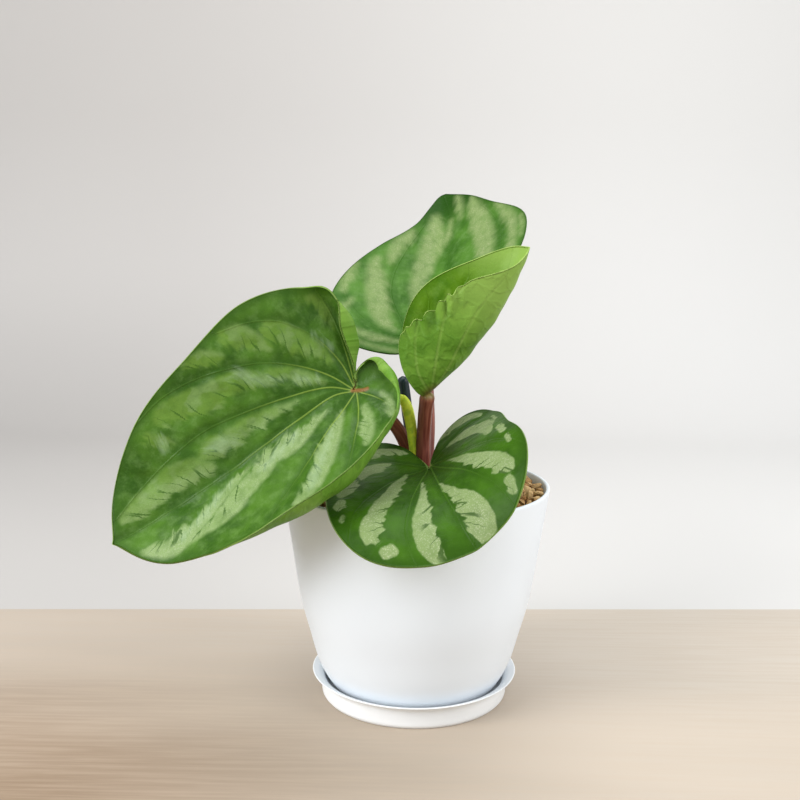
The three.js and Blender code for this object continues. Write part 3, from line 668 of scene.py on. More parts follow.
def stem_material():
    """Fleshy maroon petioles with lengthwise streaks, greener towards their blades."""
    g = Graph("petiole_skin", Specular_IOR_Level=0.4)
    along, around = g.field("along"), g.field("around")
    ring = g.combine(g.scaled(g.math("COSINE", around), 2.5), g.scaled(g.math("SINE", around), 2.5),
                     g.scaled(along, 3.0))
    streaks = g.noise(ring, 1.1)
    flecks = g.noise(g.place(), 0.8, detail=3.0)
    colour = g.layers((114, 54, 45), (streaks, 0.35, 0.7, (158, 94, 76)),
                      (flecks, 0.62, 0.8, 0.0, 0.25, (150, 100, 80)),
                      (along, 0.94, 1.0, 0.0, 0.7, (112, 122, 50)))
    return g.finish(colour, (flecks, 0.15, 0.3), g.bump(flecks, 0.04, Normal=g.bump(streaks, 0.1)))


def shoot_material():
    """The rolled new leaf: bright yellow-green with darker green down one side and a darker seam."""
    g = Graph("shoot_skin", Specular_IOR_Level=0.35)
    mottle = g.noise(g.place(), 2.6, detail=3.0, roughness=0.6)
    speck = g.noise(g.place(), 0.5)
    # Partly painted light: the skin's own yellow-green is made brighter still, standing in for light that
    # shines through the rolled leaf.
    colour = g.layers((234, 252, 70), (mottle, 0.42, 0.66, (198, 230, 58)),
                      (speck, 0.55, 0.75, 0.0, 0.35, (222, 232, 110)))
    colour = g.mix(g.field("seam"), colour, (110, 144, 34))
    return g.finish(colour, (speck, 0.15, 0.34), g.bump(mottle, 0.1))


def stake_material():
    """Dark teal coating with faint lengthwise drawing marks."""
    g = Graph("stake_coating")
    x, y, z = g.parts(g.place())
    drawn = g.noise(g.combine(x, y, g.scaled(z, 0.06)), 0.6, detail=3.0)
    dust = g.noise(g.place(), 1.2, detail=4.0, roughness=0.65)
    colour = g.layers((6, 34, 40), (drawn, 0.35, 0.7, (10, 46, 52)),
                      (dust, 0.6, 0.8, 0.0, 0.25, (34, 66, 70)))
    return g.finish(colour, (drawn, 0.2, 0.35), g.bump(drawn, 0.05))


def plastic_material(name, tint, dusty):
    """Satin white moulded plastic: even, with a fine grain and the faintest mould flow."""
    g = Graph(name, IOR=1.46)
    fine = g.noise(g.place(), 0.35, detail=3.0, roughness=0.6)
    colour = g.layers(tint, (g.noise(g.place(), 30.0, detail=1.0), 0.25, 0.75, dusty))
    return g.finish(colour, (fine, 0.1, 0.36), g.bump(fine, 0.012))


def granule_material():
    """Dry fired-clay chips: tan to light brown, each its own shade, with pores."""
    g = Graph("granule_clay", Specular_IOR_Level=0.3)
    pores = g.cells(g.place(), 0.45)
    patch = g.noise(g.place(), 1.0, detail=4.0, roughness=0.65)
    colour = g.layers((160, 118, 70), (g.field("tint"), 0.0, 1.0, (216, 184, 132)),
                      (patch, 0.35, 0.7, 0.0, 0.5, (138, 98, 56)),
                      (pores, 0.05, 0.28, 0.5, 0.0, (98, 66, 38)))
    pits = g.bump(g.step(pores, 0.0, 0.35), 0.14)
    return g.finish(colour, (patch, 0.15, 0.78), g.bump(patch, 0.3, Normal=pits))


def bed_material():
    """The dark fine fill that shows in the gaps between the granules."""
    g = Graph("fill_crumbs")
    crumbs = g.cells(g.place(), 0.9)
    patch = g.noise(g.place(), 2.5, detail=4.0)
    colour = g.layers((66, 42, 26), (patch, 0.3, 0.7, (104, 70, 42)),
                      (crumbs, 0.1, 0.5, 0.5, 0.0, (40, 26, 18)))
    return g.finish(colour, (patch, 0.1, 0.85), g.bump(crumbs, 0.6))


def wood_material():
    """Pale wood with long fine grain from left to right, with painted shade at the left and painted light
    to the right and to the back.
    """
    g = Graph("pale_wood", Specular_IOR_Level=0.2)
    x, y, z = g.parts(g.place())
    grain = g.noise(g.combine(g.scaled(x, 0.05), y, z), 2.4, detail=5.0, roughness=0.6)
    broad = g.noise(g.combine(g.scaled(x, 0.2), y, z), 60.0)
    # Painted shade and light: darker at the left, lighter to the right and towards the back.
    colour = g.layers((134, 113, 91), (x, -170.0, 120.0, (187, 176, 162)),
                      (y, -60.0, 60.0, 0.0, 0.5, (212, 205, 195)),
                      (grain, 0.35, 0.7, 0.0, 0.3, (184, 166, 146)),
                      (broad, 0.3, 0.7, 0.0, 0.3, (206, 192, 176)))
    return g.finish(colour, (grain, 0.1, 0.55), g.bump(grain, 0.04))


def wall_material():
    """A plain pale warm grey, a little lighter to the right and darker low down at the left, as painted
    light and shade.
    """
    g = Graph("pale_wall", Specular_IOR_Level=0.1)
    x, y, z = g.parts(g.place())
    tone = g.noise(g.place(), 400.0)
    # Painted light: a little lighter to the right.
    colour = g.layers((193, 190, 187), (x, -330.0, 330.0, (217, 216, 214)))
    # Painted shade: darker low down at the left.
    low_left = g.scaled(g.step(z, -20.0, 150.0, 0.75, 0.0), g.step(x, -330.0, 120.0, 1.0, 0.0))
    colour = g.layers(g.mix(low_left, colour, (176, 173, 170)), (tone, 0.3, 0.7, 0.0, 0.1, (208, 206, 203)))
    return g.finish(colour, (tone, 0.1, 0.85))


# ---------------------------------------------------------------- pot, saucer and fill

def saucer():
    outside = smooth_curve(SAUCER_SIDE, 0.35)
    inside = smooth_curve(SAUCER_INSIDE, 0.35)
    lip = smooth_curve([SAUCER_SIDE[-1], *SAUCER_LIP, SAUCER_INSIDE[0]], 0.12)
    floor = [(radius, SAUCER_FLOOR) for radius in (28, 20, 10)]
    foot = [(radius, 0) for radius in (10, 20, 30)]
    points, faces = lathe([(0, 0), *foot, *outside, *lip[1:-1], *inside, *floor, (0, SAUCER_FLOOR)])
    material = plastic_material("saucer_plastic", (238, 241, 243), (235, 238, 240))
    keep(mesh_object("saucer_dish", points, faces, [material], sharp=50), "white_plastic", "saucer")


def pot_outside():
    return smooth_curve([(POT_FOOT, POT_BASE), *POT_SIDE, (POT_RIM_RADIUS, POT_RIM_HEIGHT - 0.5)], 0.9)


def inner_wall(inset, bottom, top):
    """The inside of the pot between two heights, as (radius, height) points going up."""
    side = pot_outside()
    heights = np.unique(np.append(np.arange(bottom, top, 1.6), top))
    return np.stack([np.interp(heights, side[:, 1], side[:, 0]) - inset, heights], axis=1)


def pot():
    floor_top = POT_BASE + POT_FLOOR
    half = POT_WALL / 2
    middle, level = POT_RIM_RADIUS - half, POT_RIM_HEIGHT - RIM_ROUND
    rim = [(middle + half * math.cos(turn), level + RIM_ROUND * math.sin(turn))
           for turn in np.radians(np.linspace(0, 180, 9))]
    inside = inner_wall(POT_WALL, floor_top + 2, POT_RIM_HEIGHT - 0.6)[::-1]
    under = [(radius, POT_BASE) for radius in (0, 12, 24)]
    floor = [(radius, floor_top) for radius in (POT_INNER_FOOT, 24, 12, 0)]
    points, faces = lathe([*under, *pot_outside()[:-1], *rim[:-1], *inside, *floor])
    material = plastic_material("pot_plastic", (233, 240, 247), (230, 237, 244))
    piece = mesh_object("pot_shell", points, faces, [material], sharp=50)
    drain(piece)
    keep(piece, "white_plastic", "pot")


def drain(piece):
    """Cuts the drain holes through the pot's floor."""
    work = bmesh.new()
    for i in range(DRAIN["holes"]):
        angle = 2 * math.pi * i / DRAIN["holes"]
        at = (DRAIN["ring"] * MM * math.cos(angle), DRAIN["ring"] * MM * math.sin(angle), POT_BASE * MM)
        bmesh.ops.create_cone(work, cap_ends=True, segments=32, radius1=DRAIN["radius"] * MM,
                              radius2=DRAIN["radius"] * MM, depth=10 * MM, matrix=Matrix.Translation(at))
    cutters = bpy.data.meshes.new("drain_cutters")
    work.to_mesh(cutters)
    work.free()
    tool = bpy.data.objects.new("drain_cutters", cutters)
    bpy.context.scene.collection.objects.link(tool)
    cut = piece.modifiers.new("holes", "BOOLEAN")
    cut.operation = "DIFFERENCE"
    cut.object = tool
    cut.solver = "EXACT"
    evaluated = piece.evaluated_get(bpy.context.evaluated_depsgraph_get())
    result = bpy.data.meshes.new_from_object(evaluated)
    piece.modifiers.clear()
    piece.data = result
    bpy.data.objects.remove(tool)


def stems_at_fill():
    """The stems as upright discs (x, y, radius) at the height of the granules."""
    foot, top = np.array(STAKE["foot"]), np.array(STAKE["top"])
    at = foot + (top - foot) * (BED_LEVEL - foot[2]) / (top[2] - foot[2])
    return [(*CROWN["centre"], CROWN["radius"] - 0.3), (*at[:2], STAKE["radius"]), FRONT_PETIOLE_AT_FILL]


def settle_granules(rng):
    """Granule centres and radii, pushed apart until they lie beside and on each other."""
    count = GRANULES["count"]
    radii = rng.uniform(*GRANULES["radius"], count)
    reach = GRANULES["spread"] * np.sqrt(rng.uniform(0, 1, count))
    angle = rng.uniform(0, 2 * math.pi, count)
    z = rng.uniform(GRANULES["low"], GRANULES["high"], count)
    centres = np.stack([reach * np.cos(angle), reach * np.sin(angle), z], axis=1)
    posts = stems_at_fill()
    for _ in range(GRANULES["rounds"]):
        apart = centres[:, None] - centres[None]
        distance = np.linalg.norm(apart, axis=2) + np.eye(count) * 99
        overlap = np.clip((radii[:, None] + radii[None]) * 0.9 - distance, 0, None)
        push = (apart / distance[..., None]) * (overlap * 0.35)[..., None]
        centres += push.sum(axis=1) * (1, 1, 0.8)
        for x, y, radius in posts:
            out = centres[:, :2] - (x, y)
            away = np.linalg.norm(out, axis=1, keepdims=True)
            short = np.clip(radius + radii[:, None] * 0.85 - away, 0, None)
            centres[:, :2] += out / away * short
        centres[:, 2] = np.clip(centres[:, 2], GRANULES["low"] - 0.6, GRANULES["top"] - radii)
        radius = np.linalg.norm(centres[:, :2], axis=1, keepdims=True)
        centres[:, :2] *= np.minimum(1, (GRANULES["spread"] + 0.9 - radii[:, None]) / radius)
    return centres, radii


def granules():
    """Chipped granules over a dark bed that fills the pot."""
    rng = np.random.default_rng(7)
    ball = bmesh.new()
    bmesh.ops.create_icosphere(ball, subdivisions=2, radius=1)
    sphere = np.array([v.co for v in ball.verts])
    triangles = np.array([[v.index for v in f.verts] for f in ball.faces])
    ball.free()
    parts = []
    for centre, radius in zip(*settle_granules(rng)):
        shape = sphere * (1 + 0.05 * np.sin(sphere @ rng.normal(0, 3, (3, 1)) + rng.uniform(0, 6)))
        for _ in range(GRANULES["chips"]):
            normal = unit(rng.normal(0, 1, 3))
            past = np.clip(shape @ normal - rng.uniform(0.5, 0.85), 0, None)
            shape = shape - past[:, None] * normal * 0.97
        shape = shape * rng.uniform((1.15, 0.9, 0.62), (1.45, 1.15, 0.9))
        turn, _ = np.linalg.qr(rng.normal(0, 1, (3, 3)))
        tint = np.full(len(shape), rng.uniform(0, 1))
        parts.append((centre + (shape @ turn) * radius, turned_out(triangles, turn), {"tint": tint}))
    points, faces, fields = joined(parts)
    grains = mesh_object("granule_heap", points, faces, [granule_material()], fields=fields, sharp=24)
    keep(grains, "granules", "granules")

    bottom = POT_BASE + POT_FLOOR + 0.3
    side = inner_wall(POT_WALL + 0.3, bottom + 2, BED_LEVEL - 0.6)
    edge = side[-1, 0]
    rows = [(radius, BED_LEVEL - 0.5) for radius in np.linspace(edge, 1.5, 34)]
    points, faces = lathe([(0, bottom), (POT_INNER_FOOT, bottom), *side, *rows, (0, BED_LEVEL - 0.5)], 144)
    surface = points[:, 2] > BED_LEVEL - 0.55
    points[surface, 2] += flat_noise(points[surface, :2], 1.4, 3) * 0.5
    bed = mesh_object("granule_bed", points, faces, [bed_material()], sharp=60)
    keep(bed, "granules", "granules")


def turned_out(triangles, turn):
    """The triangles with their faces outward, also after a turn that mirrors."""
    return (triangles if np.linalg.det(turn) > 0 else triangles[:, ::-1]).tolist()


# ---------------------------------------------------------------- crown, petioles, shoot and stake

def petioles():
    """The crown with the four petioles that rise from it, each widened at its foot and, near its blade,
    narrowed, or widened for the young leaf.
    """
    def crown_radius(share, angle):
        folds = 0.05 * np.sin(angle * 3 + share * 9) + 0.03 * np.sin(angle * 7 - share * 14)
        return CROWN["radius"] * (0.93 + folds)

    x, y = CROWN["centre"]
    axis = [(x, y, CROWN["bottom"]), (x, y, (CROWN["bottom"] + CROWN["top"]) / 2), (x, y, CROWN["top"])]
    parts = [sweep(axis, crown_radius, sides=48, steps=60)]
    for i, (foot, head, (change, spread), path) in enumerate(PETIOLES):
        def radius(share, angle):
            plain = foot + (head - foot) * share
            flare = 1 + 0.16 * np.exp(-share / 0.06) + change * np.exp((share - 1) / spread)
            ribs = 1 + 0.018 * np.sin(angle * 6 + i + share * 2) + 0.02 * np.sin(share * 23 + angle + i)
            return plain * flare * ribs

        parts.append(sweep(path, radius, sides=36, steps=130))
    points, faces, fields = joined(parts)
    keep(mesh_object("petioles", points, faces, [stem_material()], fields=fields), "stem", "stems")


def new_shoot():
    """The next leaf, still rolled up, with the edge of its blade as a winding seam."""
    def seam(share, angle, width):
        """How far past the seam a point lies, and how near to it."""
        past = (angle - (4.0 + 1.3 * share)) % (2 * math.pi)
        return past, np.exp(-(np.minimum(past, 2 * math.pi - past) / width) ** 2)

    def radius(share, angle):
        plain = (SHOOT["foot"] + SHOOT["widening"] * share) * np.sqrt(1 - share**10) + 0.1
        past, near = seam(share, angle, 0.16)
        return plain * (0.97 + 0.1 * (1 - past / (2 * math.pi)) - 0.1 * near)

    points, faces, fields = sweep(SHOOT["path"], radius, sides=56, steps=150)
    fields["seam"] = seam(fields["along"], fields["around"], 0.2)[1] * 0.8
    piece = mesh_object("rolled_shoot", points, faces, [shoot_material()], fields=fields)
    keep(piece, "shoot", "new_shoot")


def stake():
    foot, top = np.array(STAKE["foot"], float), np.array(STAKE["top"], float)

    def radius(share, angle):
        return STAKE["radius"] * (1 + 0.012 * np.sin(angle * 9) + 0.008 * np.sin(share * 70))

    points, faces, fields = sweep([foot, (foot + top) / 2, top], radius, sides=48, steps=160)
    keep(mesh_object("support_stake", points, faces, [stake_material()], fields=fields), "stake", "stake")


# ---------------------------------------------------------------- blades

def outline_at(values, angle):
    """A smooth curve through the values at the outline's angles."""
    knots, values = OUTLINE_ANGLES, np.asarray(values)
    last = len(knots) - 1
    before = np.maximum(np.arange(last + 1) - 1, 0)
    after = np.minimum(np.arange(last + 1) + 1, last)
    slopes = (values[after] - values[before]) / (knots[after] - knots[before])
    i = np.clip(np.searchsorted(knots, angle, side="right") - 1, 0, last - 1)
    step = knots[i + 1] - knots[i]
    t = (angle - knots[i]) / step
    return hermite(t, values[i], step * slopes[i], values[i + 1], step * slopes[i + 1])


def walk(length, turn_at):
    """Walks a length along a curve whose direction turns as turn_at says: along, up, last turn."""
    along = up = 0
    for i in range(WALK_STEPS):
        turn = turn_at(length * (i + 0.5) / WALK_STEPS)
        along = along + np.cos(turn) * length / WALK_STEPS
        up = up + np.sin(turn) * length / WALK_STEPS
    return along, up, turn_at(length)


def blade_frame(leaf):
    """The blade's directions at its seat: to its right, to its tip, and off its upper face."""
    heading, rise, tilt = np.radians([leaf["heading"], leaf["rise"], leaf["tilt"]])
    level = np.array([math.cos(heading), -math.sin(heading), 0])
    tipward = np.array([math.sin(heading), math.cos(heading), 0]) * math.cos(rise) + (0, 0, math.sin(rise))
    above = np.cross(level, tipward)
    rightward = level * math.cos(tilt) + above * math.sin(tilt)
    upward = above * math.cos(tilt) - level * math.sin(tilt)
    return rightward, tipward, upward


def bearing_at(leaf, angle):
    """The compass bearing on the flattened blade, from the tip, of an outline angle."""
    turn = np.abs(angle)
    closing = leaf.get("closing", 0.0) * smoothstep(turn, *NOTCH_SPAN) * np.sign(angle)
    return angle + closing - leaf["skew"] * (turn / math.pi) ** 3


def radius_at(leaf, angle):
    def drawn(at):
        right, left = (outline_at(leaf[side], np.abs(at)) for side in ("right", "left"))
        return leaf["length"] * np.where(at >= 0, right, left)

    radius = drawn(angle)
    if "round_tip" in leaf:
        offsets = math.radians(leaf["round_tip"]) * np.linspace(-1, 1, 7)
        softened = sum(drawn(np.clip(angle + offset, -math.pi / 2, math.pi / 2)) for offset in offsets)
        radius = np.where(np.abs(angle) < math.pi / 6, softened / len(offsets), radius)
    return radius


def outline_normal(leaf, angle):
    """How far the outline's outward normal points away from the seat, and how far to the right of that."""
    def corner(at):
        return radius_at(leaf, at)[..., None] * np.stack([np.sin(bearing_at(leaf, at)),
                                                          np.cos(bearing_at(leaf, at))], axis=-1)

    along = unit(corner(angle + 0.01) - corner(angle - 0.01))
    bearing = bearing_at(leaf, angle)
    away = np.stack([np.sin(bearing), np.cos(bearing)], axis=-1)
    rightward = np.stack([np.cos(bearing), -np.sin(bearing)], axis=-1)
    normal = np.stack([-along[..., 1], along[..., 0]], axis=-1)
    return (normal * away).sum(axis=-1), (normal * rightward).sum(axis=-1)


def hem_at(leaf, turn, right):
    """How far the margin's roll goes outward, rises and comes back, at these outline angles."""
    sizes = []
    for start, peak, end, *reaches in (leaf.get("hem_right", NO_HEM), leaf.get("hem_left", NO_HEM)):
        start, peak, end = np.radians([start, peak, end])
        share = smoothstep(turn, start, peak) * (1 - smoothstep(turn, peak, end))
        sizes.append([length * share for length in reaches])
    return [np.where(right, *pair) for pair in zip(*sizes)]


def blade_points(leaf, angle, reach):
    """Points of a blade's middle surface, and the same points on the flattened blade."""
    turn = np.abs(angle)
    right = angle >= 0
    radius = radius_at(leaf, angle)
    hem_out, hem_rise, hem_back = hem_at(leaf, turn, right)
    flat_share = radius / (radius + HEM_ARC * (hem_out + hem_rise) / 2)
    rolled = math.pi * np.clip((reach - flat_share) / np.maximum(1 - flat_share, 1e-6), 0, 1)
    reach = np.minimum(reach / flat_share, 1)

    def ramp(start, full, amount):
        return amount * smoothstep(turn, math.radians(start), math.radians(full))

    curl = np.where(right, ramp(*leaf["curl_right"]), ramp(*leaf["curl_left"]))
    curl = curl + leaf["tip_curl"] * (1 - smoothstep(turn, 0, TIP_SPAN))
    curled = np.maximum(reach - leaf["curl_from"], 0) * radius
    span = (1 - leaf["curl_from"]) * radius
    out, lift, _ = walk(curled, lambda along: curl * (along / span) ** CURL_POWER)
    in_plane = radius * np.minimum(reach, leaf["curl_from"]) + out

    away, aside = outline_normal(leaf, angle)
    turned = (1 - np.cos(rolled)) / 2
    over, up = hem_out * np.sin(rolled) - hem_back * turned, hem_rise * turned
    in_plane = in_plane + away * over * np.cos(curl) - away**2 * up * np.sin(curl)
    lift = lift + away * over * np.sin(curl) + up * (away**2 * np.cos(curl) + aside**2)

    bearing = bearing_at(leaf, angle)
    flat = np.stack([radius * reach * np.sin(bearing), radius * reach * np.cos(bearing)], axis=-1)
    flat_x = in_plane * np.sin(bearing) + aside * over * np.cos(bearing)
    flat_y = in_plane * np.cos(bearing) - aside * over * np.sin(bearing)

    roll = np.where(right, leaf["roll_right"], leaf["roll_left"])
    across, high, lean = walk(np.abs(flat_x), lambda along: (
        leaf["fold"] * (1 - np.exp(-along / MIDRIB_CREASE))
        + roll * (1 - np.exp(-along / leaf["roll_reach"]))))
    x = np.sign(flat_x) * (across - lift * np.sin(lean))
    raised = high + lift * np.cos(lean)

    arch = np.where(flat_y >= 0, leaf["arch"], leaf["arch_back"])
    power = np.where(flat_y >= 0, leaf["arch_power"], 1)
    forth, rise, slope = walk(np.abs(flat_y), lambda along: arch * (along / leaf["length"]) ** power)
    y = np.sign(flat_y) * (forth - raised * np.sin(slope))
    z = rise + raised * np.cos(slope)

    twist = leaf["twist"] * y / leaf["length"]
    rightward, tipward, upward = blade_frame(leaf)
    place = (np.array(leaf["seat"]) + (x * np.cos(twist) - z * np.sin(twist))[..., None] * rightward
             + y[..., None] * tipward + (x * np.sin(twist) + z * np.cos(twist))[..., None] * upward)
    return place, flat, radius


def nearest(flat, samples):
    """The nearest sample of a curve to flat points: its number, its distance, the offset to its left."""
    gap = flat[:, None] - samples[None, :, :2]
    square = (gap**2).sum(axis=2)
    index = square.argmin(axis=1)
    tangents = unit(np.gradient(samples[:, :2], axis=0))[index]
    offset = flat - samples[index, :2]
    left = tangents[:, 0] * offset[:, 1] - tangents[:, 1] * offset[:, 0]
    return index, np.sqrt(square[np.arange(len(flat)), index]), left


def vein_distance(flat, pattern):
    """The distance to the nearest vein; its sign changes at each vein, so it passes through 0 there."""
    origin = np.array(pattern["base"], float)
    away = flat - origin
    distance = np.linalg.norm(away, axis=1)
    bearing = np.arctan2(away[:, 0], away[:, 1])
    closest = np.full(len(flat), 1e9)
    passed = np.zeros(len(flat))
    for vein in pattern["veins"]:
        samples = smooth_curve([origin, *vein], 0.8)
        index, apart, left = nearest(flat, samples)
        inner = (index > 0) & (index < len(samples) - 1)
        apart = np.where(inner, np.abs(left), apart)
        closest = np.minimum(closest, apart)
        out = samples[1:] - origin
        reach = np.linalg.norm(out, axis=1)
        passed += bearing > np.interp(distance, reach, np.unwrap(np.arctan2(out[:, 0], out[:, 1])))
    return closest * np.where(passed % 2, 1, -1)


def band_fields(flat, pattern, kind="bands"):
    """How far inside the nearest of the bands each point lies, and its place (along, across) in it."""
    midrib = smooth_curve([pattern["base"], *pattern["veins"][MIDRIB]], 1.0)
    inside = np.full(len(flat), -99.0)
    place = np.zeros((len(flat), 3))
    for number, band in enumerate(pattern.get(kind, [])):
        samples = smooth_curve(band, 0.7)
        centre = np.mean(band, axis=0)
        side = np.sign(centre[0] - np.interp(centre[1], midrib[:, 1], midrib[:, 0]))
        lengths = lengths_along(samples[:, :2])
        gap = samples[None, :, 2] - np.linalg.norm(flat[:, None] - samples[None, :, :2], axis=2)
        depth = gap.max(axis=1)
        index, _, left = nearest(flat, samples)
        better = depth > inside
        inside[better] = depth[better]
        here = np.stack([lengths[index], left * side, np.full(len(flat), BAND_APART * number)], axis=1)
        place[better] = here[better]
    return inside, place


def blade_faces(rings, columns):
    """A blade's faces: upper face, underside, rim and notch, and where the first two of these end."""
    count = rings * columns
    rim, last = 2 * count, (rings - 1) * columns
    top_seat, bottom_seat = rim + columns, rim + columns + 1
    faces = grid_faces(rings, columns, flip=True)
    faces += [[top_seat, i + 1, i] for i in range(columns - 1)]
    upper_end = len(faces)
    faces += grid_faces(rings, columns, start=count)
    faces += [[bottom_seat, count + i, count + i + 1] for i in range(columns - 1)]
    under_end = len(faces)
    for i in range(columns - 1):
        faces.append([last + i, last + i + 1, rim + i + 1, rim + i])
        faces.append([rim + i, rim + i + 1, count + last + i + 1, count + last + i])
    for column, turn in ((0, 1), (columns - 1, -1)):
        above = [top_seat, *range(column, count, columns)]
        below = [bottom_seat, *range(count + column, rim, columns)]
        faces += [list(face)[::turn] for face in zip(above, above[1:], below[1:], below)]
        faces.append([last + column, rim + column, count + last + column][::turn])
    return faces, upper_end, under_end


def blade(name, upper, under):
    """A fleshy blade with sunken veins above and raised ones below, and a rounded margin."""
    leaf, pattern, relief = LEAVES[name], PATTERNS[name], RELIEF[name]
    end = OUTLINE_ANGLES[-1]
    fine = np.linspace(-end, end, 4001)
    walked = lengths_along(blade_points(leaf, fine, np.ones_like(fine))[0])
    columns = int(walked[-1] / relief["step"])
    rings = int(leaf["length"] / (relief["step"] * 1.25))
    angles = np.interp(np.linspace(0, walked[-1], columns), walked, fine)
    reach, angle = np.meshgrid(np.linspace(1 / rings, 1, rings), angles, indexing="ij")
    reach = reach * (1 - MARGIN_SETBACK / np.maximum(radius_at(leaf, angles), 3))

    stand, drawn = 0 * reach, 0 * reach
    if name == "leaf_young":
        stand, drawn = ruffle_at(angle, reach, np.interp(angle, fine, walked))
    middle, flat, radius = blade_points(leaf, angle, reach * (1 - drawn))
    flat_rows = flat.reshape(-1, 2)
    vein = vein_distance(flat_rows, pattern).reshape(reach.shape)
    inside, place = band_fields(flat_rows, pattern)

    scar = nearest(flat_rows, smooth_curve(pattern["seat"], 0.2))[1].reshape(reach.shape)
    fade = smoothstep(reach, 0.0, 0.12) * (1 - 0.6 * smoothstep(reach, 0.8, 1.0))
    waves = relief["wave"] * flat_noise(flat, relief["wave_size"], 11) * fade
    waves += 0.45 * relief["wave"] * flat_noise(flat, relief["wave_size"] * 0.45, 12) * fade
    waves += relief["quilt"] * flat_noise(flat, QUILT_SIZE, 13) * fade + stand
    middle = middle + waves[..., None] * surface_normals(middle)
    normals = surface_normals(middle)
    groove = relief["depth"] * np.exp(-(vein / relief["width"]) ** 2) * (1 - 0.75 * reach)
    cushion = relief["bulge"] * smoothstep(np.abs(vein), 0.3, 5.5) * fade
    pucker = 0.12 * flat_noise(np.stack([place[:, 0] + place[:, 1], place[:, 1] * 0.3], axis=1), 3.2, 5)
    pucker = pucker.reshape(reach.shape) * fade
    half = (BLADE_MIDDLE + (BLADE_MARGIN - BLADE_MIDDLE) * reach) / 2
    nub = 0.4 * np.exp(-(scar / 0.9) ** 2)
    top = middle + normals * (half - groove + 0.5 * cushion + pucker + nub)[..., None]
    bottom = middle - normals * (half + 0.7 * groove - 0.4 * cushion)[..., None]
    rim, rim_flat, _ = blade_points(leaf, angles, 1 - drawn[-1])
    rim = rim + (middle[-1] - blade_points(leaf, angles, reach[-1] * (1 - drawn[-1]))[0])

    seat = np.array(leaf["seat"], float)
    upward = blade_frame(leaf)[2]
    count = rings * columns
    points = np.vstack([top.reshape(-1, 3), bottom.reshape(-1, 3), rim,
                        seat + upward * BLADE_MIDDLE / 2, seat - upward * BLADE_MIDDLE / 2])
    to_notch = radius * reach * np.sin(np.minimum(end - np.abs(angle), math.pi / 2))
    edge = np.minimum(radius * (1 - reach), to_notch)
    # Where the painted highlight goes on the upper face.
    glint = band_fields(flat_rows, pattern, "glints")[0]

    def field(values, at_seat, at_rim=None):
        """A field's values on both faces, the rim and the two seat points."""
        values = values.ravel()
        rim_values = values[-columns:] if at_rim is None else np.full(columns, at_rim)
        return np.concatenate([values, values, rim_values, [at_seat, at_seat]])

    fields = {"vein": field(vein, 0.0), "silver": field(inside, -9.0), "glint": field(glint, -9.0),
              "reach": field(reach, 0.0, 1.0), "edge": field(edge, 0.5, 0.0), "heart": field(scar, 0.0)}
    flat3 = np.hstack([flat_rows, np.zeros((count, 1))])
    rim3 = np.hstack([rim_flat, np.zeros((columns, 1))])
    fields["flat"] = np.vstack([flat3, flat3 + (0, 0, 40), rim3, np.zeros((2, 3))])
    fields["band"] = np.vstack([place, place, place[-columns:], np.zeros((2, 3))])

    faces, upper_end, under_end = blade_faces(rings, columns)
    slots = np.zeros(len(faces), int)
    slots[upper_end:under_end] = 1
    corner_uv = leaf_uv(faces, fields["flat"], upper_end, under_end)
    piece = mesh_object(name + "_blade", points, faces, [upper, under], fields=fields, slots=slots,
                        corner_uv=corner_uv)
    keep(piece, "young_leaf" if name == "leaf_young" else "leaf", name)


def ruffle_at(angle, reach, arc):
    """How far the crumpled stretch stands off the blade, and by what share of the reach it draws back."""
    turn = np.degrees(angle)
    share = smoothstep(turn, *RUFFLE["comes"]) * (1 - smoothstep(turn, *RUFFLE["goes"]))
    share = share * smoothstep(reach, RUFFLE["depth"], 1.0)
    line = np.stack([arc, 0 * arc], axis=-1)
    phase = 2 * math.pi * arc / RUFFLE["length"] + 2.4 * flat_noise(line, 6.0, 21)
    uneven = 0.75 + 0.5 * flat_noise(line, 3.1, 22)
    return (RUFFLE["height"] * share * uneven * np.sin(phase),
            RUFFLE["dent"] * share * uneven * (0.5 + 0.5 * np.sin(1.31 * phase + 1)))


def surface_normals(grid):
    """Unit normals of a grid of points [ring, column], off the upper face."""
    return unit(np.cross(np.gradient(grid, axis=1), np.gradient(grid, axis=0)))


def leaf_uv(faces, flat, upper_end, under_end):
    """A map for baking: the upper face on the left, the underside on the right, the margin in a strip."""
    low, high = flat[:, :2].min(axis=0), flat[:, :2].max(axis=0)
    on_face = (flat[:, :2] - low) / max((high - low).max(), 1) * (0.48, 0.93)
    uv = [on_face[face] + ((0.005, 0.005) if number < upper_end else (0.505, 0.005))
          for number, face in enumerate(faces[:under_end])]
    for number, face in enumerate(faces[under_end:]):
        x, y = 0.005 + number % 512 / 512 * 0.99, 0.95 + number // 512 * 0.01
        uv.append(np.array([(x, y), (x + 0.0015, y), (x + 0.0015, y + 0.008), (x, y + 0.008)])[:len(face)])
    return np.vstack(uv)


# ---------------------------------------------------------------- stage, lights and camera

def floor_and_sweep():
    half, front, under = SWEEP["half_width"], SWEEP["front"], -FLOOR_THICKNESS
    radius = SWEEP["radius"]
    bend = [(SWEEP["bend"] + radius * math.sin(turn), radius * (1 - math.cos(turn)) + under)
            for turn in np.linspace(0, math.pi / 2, 24)]
    profile = [(front, under), (FLOOR_EDGE, under), *bend, (bend[-1][0], SWEEP["top"])]
    points = [(x, y, z) for y, z in profile for x in np.linspace(-half, half, 9)]
    sweep_piece = mesh_object("backdrop", points, grid_faces(len(profile), 9), [wall_material()])

    skew = FLOOR_SLANT * half
    corners = [(x, y, z) for z in (under, 0.0) for x, y in
               ((-half, front), (half, front), (half, FLOOR_EDGE + skew), (-half, FLOOR_EDGE - skew))]
    sides = [[0, 1, 5, 4], [1, 2, 6, 5], [2, 3, 7, 6], [3, 0, 4, 7], [4, 5, 6, 7], [3, 2, 1, 0]]
    mesh_object("wood_floor", corners, sides, [wood_material()], sharp=30)


